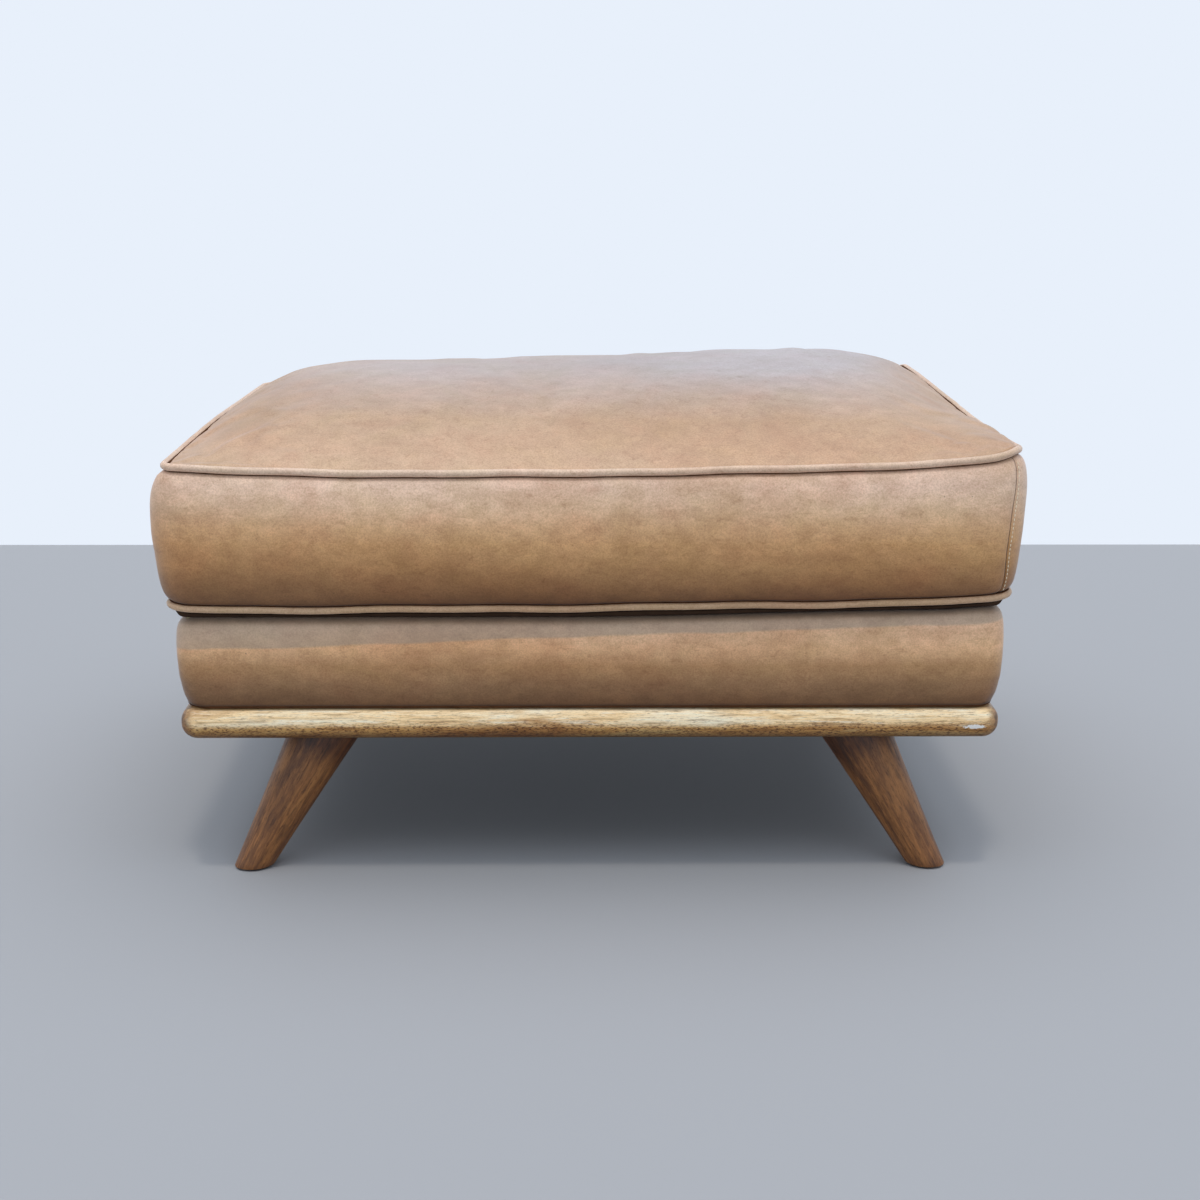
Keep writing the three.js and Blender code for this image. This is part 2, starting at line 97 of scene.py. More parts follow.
def plan_points(x, y, z=0.0):
    """Points of a plan grid as rows, at one height or each at its own."""
    return np.stack([x.ravel(), y.ravel(), np.broadcast_to(z, x.shape).ravel()], axis=1)


def plan_ripple(x, y, scale, seed):
    """Ripple over a plan grid."""
    return ripple(plan_points(x, y), scale, seed).reshape(x.shape)


def raised(xy, height):
    """Plan points at one height, or each at its own."""
    return np.column_stack([xy, np.broadcast_to(height, len(xy))])


def edge_distance(x, y, half_x, half_y):
    """Distance in from the nearest edge of a plan rectangle."""
    return np.minimum(half_x - np.abs(x), half_y - np.abs(y))


def distance_along(line):
    """Distance of each point of a line from its first one."""
    steps = np.linalg.norm(np.diff(line, axis=0), axis=1)
    return np.concatenate([[0], np.cumsum(steps)])


# ---------- mesh building
def new_object(name, vertices, faces, material, body, replaces=(), slot=None):
    mesh = bpy.data.meshes.new(name)
    mesh.from_pydata([tuple(v) for v in vertices], [], faces)
    mesh.update()
    made = bpy.data.objects.new(name, mesh)
    bpy.context.scene.collection.objects.link(made)
    mesh.materials.append(material)
    for polygon in mesh.polygons:
        polygon.use_smooth = True
    if body:
        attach(made, body)
    if replaces:
        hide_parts(*replaces)
    return made


def grid_faces(rows, columns, closed=False):
    """Quads of a rows x columns grid of points; closed joins the last column to the first."""
    faces = []
    for r in range(rows - 1):
        for c in range(columns if closed else columns - 1):
            a = r * columns + c
            b = r * columns + (c + 1) % columns
            faces.append((a, b, b + columns, a + columns))
    return faces


def loft(rings):
    """Vertices and faces of a closed solid through equal rings, capped flat at both ends."""
    count = len(rings[0])
    vertices = np.concatenate(rings)
    faces = grid_faces(len(rings), count, closed=True)
    faces.append(tuple(range(count - 1, -1, -1)))
    faces.append(tuple(range(len(vertices) - count, len(vertices))))
    return vertices, faces


def tube(path, radius, sides=12, closed=False, up=(0, 0, 1)):
    """Vertices and faces of a round tube along points. radius is a number or one for each point."""
    path = np.asarray(path, float)
    tangent = np.roll(path, -1, 0) - np.roll(path, 1, 0) if closed else np.gradient(path, axis=0)
    tangent /= np.linalg.norm(tangent, axis=1)[:, None]
    side = np.cross(tangent, np.array(up, float))
    side /= np.linalg.norm(side, axis=1)[:, None]
    lift = np.cross(side, tangent)
    radius = np.broadcast_to(radius, len(path))[:, None]
    angles = np.arange(sides) * 2 * math.pi / sides
    spokes = [path + radius * (math.cos(a) * side + math.sin(a) * lift) for a in angles]
    rings = np.stack(spokes, axis=1)
    if not closed:
        return loft(list(rings))
    faces = grid_faces(len(path) + 1, sides, closed=True)
    count = len(path) * sides
    return rings.reshape(-1, 3), [tuple(v % count for v in face) for face in faces]


def set_all(thing, **settings):
    for key, value in settings.items():
        setattr(thing, key, value)


def modify(piece, kind, **settings):
    modifier = piece.modifiers.new(kind.title(), kind)
    set_all(modifier, **settings)
    return modifier


def apply_modifiers(piece):
    depsgraph = bpy.context.evaluated_depsgraph_get()
    mesh = bpy.data.meshes.new_from_object(piece.evaluated_get(depsgraph))
    piece.modifiers.clear()
    piece.data = mesh


def thicken(piece, thickness=LEATHER):
    """Gives an open sheet its thickness on the inner side, and rounds its edges."""
    modify(piece, "SOLIDIFY", thickness=thickness, offset=-1, use_even_offset=True)
    modify(piece, "SUBSURF", levels=1, render_levels=1)


def upholster(name, points, faces, material, body, node):
    """One stuffed face of leather, from an open sheet of points."""
    face = new_object(name, points, faces, material, body, [node], "leather")
    thicken(face)


def flipped(faces):
    return [face[::-1] for face in faces]


# ---------- rounded rectangles
CORNER_STEPS = 14
SIDE_STEPS = (100, 80)


def stations():
    """The places round a rounded rectangle, counter-clockwise from the +X end of the +X+Y corner.

    Each is (corner, angle share, side share): in a corner the side share is 0, and along the
    straight that follows a corner the angle share is 1.
    """
    places = []
    for corner in range(4):
        places += [(corner, i / CORNER_STEPS, 0.0) for i in range(CORNER_STEPS + 1)]
        steps = SIDE_STEPS[corner % 2]
        places += [(corner, 1.0, i / steps) for i in range(1, steps)]
    return np.array(places)


STATIONS = stations()


def outline(half_x, half_y, radii, places=STATIONS):
    """Plan points and outward normals of a rounded rectangle with a radius for each corner."""
    radii = np.broadcast_to(radii, 4)
    centres = np.array(CORNER_SIGNS, float) * (np.array([half_x, half_y]) - radii[:, None])

    def on_arc(corner, share):
        angle = (corner + share) * math.pi / 2
        normal = np.stack([np.cos(angle), np.sin(angle)], axis=1)
        return centres[corner % 4] + radii[corner % 4][:, None] * normal, normal

    corner = places[:, 0].astype(int)
    here, normal = on_arc(corner, places[:, 1])
    following, _ = on_arc(corner + 1, np.zeros(len(places)))
    share = places[:, 2:3]
    return here * (1 - share) + following * share, normal


def places_between(first, last):
    """Stations from one index round to another, which may run on past the end of the list."""
    return STATIONS[np.arange(first, last + 1) % len(STATIONS)]


def station_at(corner, angle_share):
    """Index of the station nearest to a share of a corner's arc."""
    return int(np.flatnonzero(STATIONS[:, 0] == corner)[0]) + round(angle_share * CORNER_STEPS)


# ---------- material nodes
def set_stops(ramp, stops):
    """Gives a colour ramp its stops; each is (position, grey level or colour)."""
    while len(ramp.elements) < len(stops):
        ramp.elements.new(0.5)
    for element, (position, level) in zip(ramp.elements, stops):
        shade = (level, level, level) if isinstance(level, (int, float)) else level
        set_all(element, position=position, color=(*shade, 1))


class Nodes:
    """Builds one node material: every method adds a node and returns its output socket."""

    def __init__(self, name):
        self.material = bpy.data.materials.new(name)
        self.material.use_nodes = True
        self.tree = self.material.node_tree
        self.shader = self.tree.nodes["Principled BSDF"]
        self.local = None

    def feed(self, socket, value):
        if isinstance(value, bpy.types.NodeSocket):
            self.tree.links.new(value, socket)
        else:
            socket.default_value = value

    def add(self, kind, **inputs):
        node = self.tree.nodes.new(kind)
        for key, value in inputs.items():
            self.feed(node.inputs[key], value)
        return node

    def place(self, scale=(1, 1, 1)):
        """Object coordinates, turned to the local frame if there is one, and scaled."""
        where = self.add("ShaderNodeTexCoord").outputs["Object"]
        if self.local:
            back = self.local.inverted()
            turned = self.add("ShaderNodeMapping", Vector=where, Location=back.to_translation(),
                              Rotation=back.to_euler())
            where = turned.outputs["Vector"]
        return self.add("ShaderNodeMapping", Vector=where, Scale=scale).outputs["Vector"]

    def axes(self):
        return self.add("ShaderNodeSeparateXYZ", Vector=self.place()).outputs

    def noise(self, vector, scale, detail=3.0, roughness=0.5, distortion=0.0):
        node = self.add("ShaderNodeTexNoise", Vector=vector, Scale=scale, Detail=detail,
                        Roughness=roughness, Distortion=distortion)
        return node.outputs["Fac"]

    def cells(self, vector, scale):
        return self.add("ShaderNodeTexVoronoi", Vector=vector, Scale=scale).outputs["Distance"]

    def ramp(self, value, *stops):
        """Colour ramp; each stop is (position, grey level or colour)."""
        node = self.add("ShaderNodeValToRGB", Fac=value)
        set_stops(node.color_ramp, stops)
        return node.outputs["Color"]

    def mix(self, factor, a, b, mode="MIX"):
        node = self.add("ShaderNodeMix")
        node.data_type = "RGBA"
        node.blend_type = mode
        for name, value in (("Factor", factor), ("A", a), ("B", b)):
            socket = next(s for s in node.inputs if s.name == name and s.enabled)
            self.feed(socket, (*value, 1) if isinstance(value, tuple) else value)
        return next(s for s in node.outputs if s.enabled)

    def maths(self, operation, a, b=0.0):
        node = self.tree.nodes.new("ShaderNodeMath")
        node.operation = operation
        for socket, value in zip(node.inputs, (a, b)):
            self.feed(socket, value)
        return node.outputs["Value"]

    def share(self, value, start, length):
        """How far a value is past the start, as a share of the length."""
        return self.maths("DIVIDE", self.maths("SUBTRACT", value, start), length)

    def vector_maths(self, operation, a, b=(0, 0, 0)):
        node = self.add("ShaderNodeVectorMath", Vector=a)
        node.operation = operation
        node.inputs[1].default_value = b
        return node.outputs

    def bump(self, height, strength, distance, normal=None):
        node = self.add("ShaderNodeBump", Height=height, Strength=strength, Distance=distance)
        if normal is not None:
            self.feed(node.inputs["Normal"], normal)
        return node.outputs["Normal"]

    def finish(self, **inputs):
        for key, value in inputs.items():
            if isinstance(value, tuple):
                value = (*value, 1)
            self.feed(self.shader.inputs[key.replace("_", " ")], value)
        return self.material


def colour(red, green, blue):
    """sRGB levels from 0 to 255 as the linear colour that a shader takes."""
    def linear(level):
        c = level / 255
        return c / 12.92 if c <= 0.04045 else ((c + 0.055) / 1.055) ** 2.4
    return linear(red), linear(green), linear(blue)


def scaled(shade, factor):
    return tuple(min(255, level * factor) for level in shade)


# ---------- materials
def painted_shadow_band(n, base, height, start):
    """A greyer band of painted shadow above a height that wanders and leans a little."""
    wander = n.maths("MULTIPLY", n.noise(n.place((1, 1, 0)), 9, detail=4), 9 * MM)
    lean = n.maths("MULTIPLY", n.axes()["X"], -34 * MM)
    edge = n.maths("ADD", n.maths("ADD", height, wander), lean)
    shadow_band = n.ramp(n.share(edge, start, 8 * MM), (0.30, 0.0), (0.60, 1.0))
    return n.mix(shadow_band, base, n.mix(0.5, base, SHADOW_GREY))


def leather_material(name, shaded_tones, mottle=1.0, shadow_above=None):
    """Pull-up leather whose colour has light and shade painted in. The first list gives (height, colour)
    from low to high and paints shade, light and sheen by height.

    mottle scales its larger patches. The last argument is the height above which a greyer band of painted
    shadow lies, where the cushion keeps the light off it.
    """
    n = Nodes(name)
    height = n.axes()["Z"]
    low = shaded_tones[0][0]
    span = shaded_tones[-1][0] - low
    base = n.ramp(n.share(height, low, span), *[((z - low) / span, colour(*tone)) for z, tone in shaded_tones])
    where = n.place((0.7, 0.7, 1.5))
    clouds = n.noise(where, 9, detail=5, roughness=0.6, distortion=0.25)
    warm = n.noise(where, 5.0, detail=3, roughness=0.55)
    rub = n.noise(n.place((1, 1, 1.6)), 48, detail=6, roughness=0.62)
    tint = n.noise(n.place((1, 1, 1.4)), 19, detail=4, roughness=0.6, distortion=0.4)
    wrinkle = n.noise(n.place((1, 1, 1.8)), 130, detail=4, roughness=0.65, distortion=1.0)
    grit = n.noise(n.place(), 620, detail=3, roughness=0.7)
    layers = [  # noise, the two stops of its ramp, and the tone it lays on
        (clouds, (0.30, 0.34 * mottle), (0.52, 0.0), SHADE),
        (clouds, (0.50, 0.0), (0.74, 0.26 * mottle), GLEAM),
        (warm, (0.46, 0.0), (0.66, 0.40 * mottle), WARM),
        (rub, (0.28, 0.40 * mottle), (0.54, 0.0), SHADE),
        (rub, (0.50, 0.0), (0.70, 0.28 * mottle), GLEAM),
        (tint, (0.34, 0.28), (0.50, 0.0), OLIVE),
        (tint, (0.50, 0.0), (0.66, 0.35), ROSY),
        (wrinkle, (0.30, 0.40), (0.46, 0.0), SHADE),
        (grit, (0.30, 0.46), (0.55, 0.0), SHADE),
        (grit, (0.48, 0.0), (0.68, 0.20), GLEAM),
    ]
    for pattern, start, end, tone in layers:
        base = n.mix(n.ramp(pattern, start, end), base, tone, mode="MULTIPLY")
    specks = n.ramp(n.cells(n.place(), 48), (0.030, 0.55), (0.045, 0.0))
    rare = n.ramp(n.noise(n.place(), 5, detail=1), (0.57, 0.0), (0.62, 1.0))
    base = n.mix(n.maths("MULTIPLY", specks, rare), base, SPECK)
    if shadow_above:
        base = painted_shadow_band(n, base, height, shadow_above)
    pores = n.bump(n.ramp(n.cells(n.place(), 800), (0.05, 0.0), (0.45, 1.0)), 0.25, 0.25 * MM)
    creases = n.noise(n.place(), 240, detail=5, roughness=0.6, distortion=0.8)
    normal = n.bump(creases, 0.35, 0.35 * MM, pores)
    normal = n.bump(n.noise(n.place(), 24, detail=3), 0.25, 1.5 * MM, normal)
    gloss = n.ramp(rub, (0.3, 0.46), (0.7, 0.56))
    return n.finish(Base_Color=base, Roughness=gloss, Normal=normal, Specular_IOR_Level=0.5,
                    Sheen_Weight=0.22, Sheen_Roughness=0.4, Sheen_Tint=(0.92, 0.93, 1.0))


def edge_shaded(n, base, bands, speckle, low, high):
    """Painted shade that deepens towards a low and a high edge and leaves a painted highlight band between
    them, with dark dots in its lower half.
    """
    share = n.share(n.axes()["Z"], low, high - low)
    uneven = n.maths("MULTIPLY", n.maths("SUBTRACT", bands, 0.5), 0.5)
    lower = n.ramp(n.maths("ADD", share, uneven), (0.40, 1.0), (0.62, 0.12))
    dots = n.ramp(speckle, (0.38, 0.9), (0.50, 0.0))
    base = n.mix(n.maths("MULTIPLY", dots, lower), base, PORE, mode="MULTIPLY")
    return n.mix(1.0, base, n.ramp(share, *EDGE_SHADE_AND_HIGHLIGHT), mode="MULTIPLY")


def end_grained(n, base, start):
    """End grain from a distance out along X."""
    reach = n.share(n.maths("ABSOLUTE", n.axes()["X"]), start, 14 * MM)
    cut = n.noise(n.place(), 150, detail=5, roughness=0.7)
    end_grain = n.ramp(cut, (0.36, END_GRAIN), (0.66, END_PALE))
    return n.mix(n.ramp(reach, (0.0, 0.0), (0.70, 0.92)), base, end_grain)


def pale_patched(n, base, centre):
    """A small ragged pale patch on the wood."""
    where = n.place()
    gap = n.vector_maths("SUBTRACT", where, centre)["Vector"]
    squeezed = n.add("ShaderNodeMapping", Vector=gap, Scale=PALE_PATCH_SQUEEZE).outputs["Vector"]
    rough = n.noise(where, 260, detail=4, roughness=0.7)
    ragged = n.maths("ADD", n.vector_maths("LENGTH", squeezed)["Value"], rough)
    return n.mix(n.ramp(ragged, (0.9, 1.0), (1.15, 0.0)), base, PALE_PATCH)


def wood_material(name, dark, main, pale, along="x", gloss=0.42, fleck=1.0, coat=0.2, heights=None,
                  ends=None, under=None, pale_patch=None, local=None):
    """Open-grained timber whose grain runs along one axis, of its own local frame if it has one.

    heights is the pair of heights between which painted shade deepens towards the edges, leaving a painted
    highlight band between. ends is the distance from the middle at which end grain begins. under is the
    height from which painted shade darkens the wood up to what it carries. scuff is the centre of a small
    pale patch.
    """
    n = Nodes(name)
    n.local = local

    def grained(stretch):
        return n.place((1, stretch, stretch) if along == "x" else (stretch, stretch, 1))

    bands = n.noise(grained(10), 6.0, detail=6, roughness=0.65, distortion=0.6)
    base = n.ramp(bands, (0.32, colour(*dark)), (0.50, colour(*main)), (0.68, colour(*pale)))
    streak = n.noise(grained(13), 27, detail=5, roughness=0.65, distortion=0.3)
    base = n.mix(n.ramp(streak, (0.34, 0.60 * fleck), (0.49, 0.0)), base, colour(*scaled(dark, 0.8)))
    base = n.mix(n.ramp(streak, (0.53, 0.0), (0.68, 0.50 * fleck)), base, colour(*scaled(pale, 1.1)))
    pores = n.noise(grained(6), 135, detail=4, roughness=0.7)
    base = n.mix(n.ramp(pores, (0.34, 0.50 * fleck), (0.45, 0.0)), base, PORE, mode="MULTIPLY")
    if heights:
        speckle = n.noise(grained(3.3), 270, detail=2, roughness=0.6)
        base = edge_shaded(n, base, bands, speckle, *heights)
    if ends:
        base = end_grained(n, base, ends)
    if under:
        # Painted shade on the wood just under what it carries.
        reach = n.share(n.axes()["Z"], under, 22 * MM)
        base = n.mix(1.0, base, n.ramp(reach, (0.0, 1.0), (1.0, UNDER_RAIL_SHADE)), mode="MULTIPLY")
    if pale_patch:
        base = pale_patched(n, base, pale_patch)
    normal = n.bump(bands, 0.15, 0.4 * MM, n.bump(pores, 0.35, 0.25 * MM))
    rough = n.ramp(pores, (0.3, gloss + 0.22), (0.5, gloss))
    return n.finish(Base_Color=base, Roughness=rough, Normal=normal, Coat_Weight=coat, Coat_Roughness=0.3)


def plain_material(name, main, rough=0.6, metal=0.0, scale=60, spread=0.12, grain=0.2, specular=0.5):
    """Material with a little mottling and a fine surface."""
    n = Nodes(name)
    where = n.place()
    mottle = n.noise(where, scale, detail=4)
    base = n.ramp(mottle, (0.3, colour(*scaled(main, 1 - spread))), (0.7, colour(*scaled(main, 1 + spread))))
    normal = n.bump(n.noise(where, scale * 8, detail=3), grain, 0.2 * MM)
    level = n.ramp(mottle, (0.3, max(0, rough - 0.08)), (0.7, min(1, rough + 0.08)))
    return n.finish(Base_Color=base, Roughness=level, Metallic=metal, Normal=normal,
                    Specular_IOR_Level=specular)


def weave_material(name, main, pitch):
    """Plain-weave cloth in object X and Y."""
    n = Nodes(name)
    axes = n.axes()
    turns = 2 * math.pi / pitch
    warp = n.maths("SINE", n.maths("MULTIPLY", axes["X"], turns))
    weft = n.maths("SINE", n.maths("MULTIPLY", axes["Y"], turns))
    height = n.maths("MULTIPLY", warp, weft)
    mottle = n.noise(n.place(), 40, detail=3)
    base = n.ramp(mottle, (0.3, colour(*scaled(main, 0.85))), (0.7, colour(*main)))
    base = n.mix(n.ramp(height, (0.0, 0.25), (0.5, 0.0)), base, colour(*scaled(main, 0.6)))
    normal = n.bump(height, 0.5, 0.25 * MM)
    return n.finish(Base_Color=base, Roughness=0.9, Normal=normal, Sheen_Weight=0.15)


PORE = colour(112, 76, 44)
END_GRAIN = colour(70, 38, 18)
END_PALE = colour(168, 120, 74)
PALE_PATCH = colour(238, 236, 230)
# How dark the painted shade gets at the top of the legs, under the plinth.
UNDER_RAIL_SHADE = (0.42, 0.34, 0.28)
# Painted shade and highlight up the rail: darkest at the bottom edge, a full-bright highlight band, and a
# dark line at the top under the leather.
EDGE_SHADE_AND_HIGHLIGHT = [(0.0, (0.20, 0.13, 0.07)), (0.18, (0.34, 0.23, 0.11)), (0.40, (0.66, 0.48, 0.25)),
              (0.55, 1.0), (0.90, 1.0), (0.975, (0.30, 0.21, 0.13))]
PALE_PATCH_CENTRE = (0.3795, RAIL_LOW.y, RAIL_LOW.z + 14 * MM)
PALE_PATCH_SQUEEZE = (46, 20, 210)  # one over the patch's half sizes, about
SHADE = colour(206, 186, 166)
WARM = colour(236, 208, 172)
GLEAM = (1.45, 1.45, 1.50)
OLIVE = colour(236, 238, 216)
ROSY = colour(255, 242, 240)
SPECK = colour(92, 58, 36)
# Grey of the painted shadow band that stands for the cushion's shade on the base.
SHADOW_GREY = colour(148, 140, 128)

# Colour of each leather at each height from its bottom to its top, in metres, with light and shade painted
# in:
# the sides and the base darken towards the bottom as painted shade, the base has a painted shadow line along
# the plinth, the top greys towards its highest part as a painted sheen, and the lower piping is painted
# darker than the upper as shade.
SIDE_SHADED_TONES = [(0.276, (102, 68, 39)), (0.291, (133, 93, 55)), (0.305, (159, 115, 71)),
              (0.324, (187, 141, 91)), (0.345, (207, 161, 110)), (0.362, (217, 175, 131)),
              (0.381, (221, 187, 154)), (0.40, (224, 193, 169))]
BASE_SHADED_TONES = [(0.1775, (58, 38, 22)), (0.1805, (120, 84, 50)), (0.186, (131, 95, 60)),
              (0.200, (155, 117, 79)), (0.220, (184, 142, 97)), (0.238, (226, 182, 138)),
              (0.262, (228, 190, 154))]
TOP_SHEEN_TONES = [(0.405, (201, 168, 137)), (0.430, (193, 158, 126)), (0.450, (188, 155, 124)),
             (0.468, (186, 162, 145)), (0.482, (182, 172, 171))]
PIPING_SHADED_TONES = [(0.27, (196, 164, 130)), (0.30, (196, 164, 130)), (0.40, (219, 191, 167)),
                (0.43, (219, 191, 167))]
LEATHER_TOP = leather_material("leather_top", TOP_SHEEN_TONES, mottle=0.68)
LEATHER_SIDE = leather_material("leather_side", SIDE_SHADED_TONES)
# The base's leather has a painted shadow band along its top, where the cushion keeps the light off it.
LEATHER_BASE = leather_material("leather_base", BASE_SHADED_TONES, shadow_above=COVER_HIGH.z - 19 * MM)
LEATHER_PIPING = leather_material("leather_piping", PIPING_SHADED_TONES, mottle=0.6)
# Guessed suede for the underside, made dark so that it also paints the shade in the gap under the cushion.
SHADE_DARK_SUEDE = plain_material("shade_dark_suede", (62, 46, 35), rough=1.0, scale=70, grain=0.5, specular=0.08)
# Dark colours of tubes that paint the shade in the seams' grooves, in the gap under the cushion and in the
# plinth recess.
CREASE_SHADOW = plain_material("crease_shadow", (84, 54, 34), rough=1.0, scale=120, specular=0.05)
DEEP_CREASE_SHADOW = plain_material("deep_crease_shadow", (36, 25, 18), rough=1.0, scale=120, specular=0.05)

# Rail colours are pale enough for the painted highlight band; the painted edge shade darkens them above and
# below it.
RAIL_TONES_WITH_HIGHLIGHT = ((190, 140, 82), (255, 221, 166), (255, 246, 216))
RAIL_FINISH_AND_SHADE = {"gloss": 0.46, "coat": 0.08, "heights": (RAIL_LOW.z, RAIL_HIGH.z)}
RAIL_WOOD = wood_material("rail_wood", *RAIL_TONES_WITH_HIGHLIGHT, ends=RAIL_HIGH.x - 15 * MM, pale_patch=PALE_PATCH_CENTRE, **RAIL_FINISH_AND_SHADE)
SIDE_RAIL_WOOD = wood_material("side_rail_wood", *RAIL_TONES_WITH_HIGHLIGHT, **RAIL_FINISH_AND_SHADE)
LEG_TONES = ((84, 48, 22), (122, 76, 35), (162, 108, 56))
FRAME_WOOD = wood_material("frame_wood", (176, 142, 96), (205, 176, 130), (222, 199, 160), gloss=0.7,
                           fleck=0.4)
STEEL = plain_material("steel", (150, 152, 156), rough=0.35, metal=1.0, scale=120, spread=0.06)
FOAM = plain_material("foam", (226, 212, 166), rough=0.95, scale=300, grain=0.6)
WADDING = plain_material("wadding", (238, 235, 228), rough=1.0, scale=90, spread=0.05, grain=0.8)
DECK_CLOTH = weave_material("deck_cloth", (122, 98, 76), 1.6 * MM)
DUST_CLOTH = weave_material("dust_cloth", (34, 33, 32), 1.2 * MM)
GLIDE = plain_material("glide", (38, 34, 31), rough=0.5)
ZIP_TAPE = weave_material("zip_tape", (120, 92, 66), 0.9 * MM)
ZIP_METAL = plain_material("zip_metal", (168, 142, 92), rough=0.32, metal=1.0, scale=400, spread=0.08)
THREAD = plain_material("thread", (238, 218, 190), rough=0.7, scale=900)


# ---------- cushion shape
CROWN = 66 * MM
CROWN_LEAN = 7.9 * MM  # how much higher the crown is at +X, and lower at -X
TUCK = 3.5 * MM
ROLL = 6.5 * MM  # extra fullness along the front half of the +X edge
CORNER_BUMP = 4.5 * MM  # extra fullness at the front right corner
TOP_RADII = np.array([24, 24, 10, 36]) * MM
TOP_SPREAD = 0.016
MIDDLE_RADIUS = 34 * MM
LOW_SPREAD = (1.010, 1.0085)  # at the left and the right
LOW_RADII = np.array([26, 26, 24, 30]) * MM
SIMULATED_FRAMES = 16
TREND_PASSES = 40  # rounds of averaging that separate the small folds from the broad rise
DEEPEST_FOLD = 1.5 * MM

BASE_PROFILE = [  # height above the plinth and inset from the cover's widest line, in mm
    (0.3, 8.0), (4, 6.8), (12, 4.2), (30, 1.2), (50, 0.1), (64, 0.0), (76, 0.8), (82, 2.2), (86, 4.6),
    (88.3, 8.0), (89.6, 13), (90.8, 20), (92.6, 30), (93.9, 41),
]
WIDEST = 5  # index of the profile's widest point
BASE_LIFT = 7.5 * MM
LIFT_SHARES = [0, 0, 0, 0, 0.1, 0.35, 0.7, 0.9, 1, 1, 1, 0.75, 0.35, 0]  # one for each profile point


def base_profile():
    """Heights and insets of the base's side and edge, in metres."""
    rise, inset = (np.array(column) * MM for column in zip(*BASE_PROFILE))
    return RAIL_HIGH.z + rise, inset


def base_lift(x):
    """How far the base's edge stands higher towards the +X end, where its stuffing is fuller."""
    return BASE_LIFT * smooth((x + 0.02) / 0.36) + 3 * MM * smooth((x - 0.33) / 0.06)


def base_top(x, inset):
    """Height of the base's rolled edge at a distance in from its widest line."""
    level, reach = base_profile()
    lift = base_lift(x) * np.interp(inset, reach[WIDEST:], LIFT_SHARES[WIDEST:])
    return np.interp(inset, reach[WIDEST:], level[WIDEST:]) + lift


def top_seam(x, y):
    """Height of the upper piping. The filling has settled: the +X end and its corners ride up."""
    u = np.clip(np.asarray(x) / PIPING_X, -1, 1)
    v = np.asarray(y) / PIPING_Y
    right_end = np.where(v > 0, 8.5 + 9 * v - 5 * v * v, 8.5 + 19.5 * v + 19 * v * v)
    right_end = np.maximum(u, 0) ** 15 * right_end
    left_end = np.maximum(-u, 0) ** 6 * (1.2 - 3.5 * v - 3.7 * v * v)
    run = 412 + 5 * u + 6.5 * u * u + 0.5 * np.abs(u) ** 6 + 2.5 * np.maximum(-u, 0) ** 6
    wander = 0.35 * wave(x + 0.4 * y, 0.23, 1.2) + 0.3 * wave(x - 0.3 * y, 0.105, 0.3)
    return (run + right_end + left_end + wander) * MM


def low_seam(x, y):
    """Height of the lower piping, which rises towards +X and a little at both ends."""
    u = np.asarray(x) / PIPING_X
    wander = 0.6 * wave(x + 0.4 * y, 0.27, 2.1) + 0.4 * wave(x - 0.3 * y, 0.12, 0.9)
    return (279.2 + 4.6 * u + 2.4 * u * u + 2.2 * np.abs(u) ** 8 + wander) * MM


def blend(x, low, high, middle=0.0, width=0.35):
    """Goes smoothly from low to high as x passes the middle."""
    share = 0.5 + 0.5 * np.tanh((x - middle) / width)
    return low + (high - low) * share


def crown(x, y):
    """Height of the top panel over a plan point, before its edges tuck in to the seam."""
    u, v = x / PIPING_X, y / PIPING_Y
    steep_x = np.where(u > 0, blend(v, 4.2, 8.5), 8.5)
    round_x = np.where(u > 0, blend(v, 1.15, 1.12), 1.3)
    along = (1 - np.clip(np.abs(u), 0, 1) ** steep_x) ** round_x
    steep_y = np.where(v > 0, 2.55, 2.4)
    round_y = blend(v, 0.83, 1.38, width=0.2)
    across = (1 - np.clip(np.abs(v), 0, 1) ** steep_y) ** round_y
    corner = np.exp(-((x - 0.36) / 0.045) ** 2 - ((y + 0.235) / 0.06) ** 2)
    to_side = np.maximum(PIPING_X - x, 0)
    to_front = np.maximum(PIPING_Y + y, 0)
    roll = (1 - np.exp(-to_side / (4 * MM))) * np.exp(-(to_side / (36 * MM)) ** 2)
    roll = roll * (1 - np.exp(-to_front / (5 * MM))) * blend(v, 1, 0, middle=-0.30, width=0.16)
    dome = (CROWN + CROWN_LEAN * u) * along * across
    return top_seam(x, y) + dome + CORNER_BUMP * corner + ROLL * roll


def round_corners(x, y, half_x, half_y, radii):
    """Moves grid points near a rectangle's corners on to rounded ones."""
    for (sx, sy), r in zip(CORNER_SIGNS, radii):
        p = (x * sx - (half_x - r)) / r
        q = (y * sy - (half_y - r)) / r
        inside = (p > 0) & (q > 0)
        p, q = np.clip(p, 0, 1), np.clip(q, 0, 1)
        x = np.where(inside, sx * (half_x - r + r * p * np.sqrt(1 - q * q / 2)), x)
        y = np.where(inside, sy * (half_y - r + r * q * np.sqrt(1 - p * p / 2)), y)
    return x, y


def panel_grid(half_x, half_y, columns, rows):
    """Plan grid whose lines close up towards the edges."""
    def line(half, count):
        t = np.linspace(-1, 1, count)
        return half * np.sign(t) * (1 - (1 - np.abs(t)) ** 1.4)
    return np.meshgrid(line(half_x, columns), line(half_y, rows))


def vertex_grid(mesh, rows, columns):
    places = np.empty(rows * columns * 3)
    mesh.vertices.foreach_get("co", places)
    return places.reshape(rows, columns, 3)


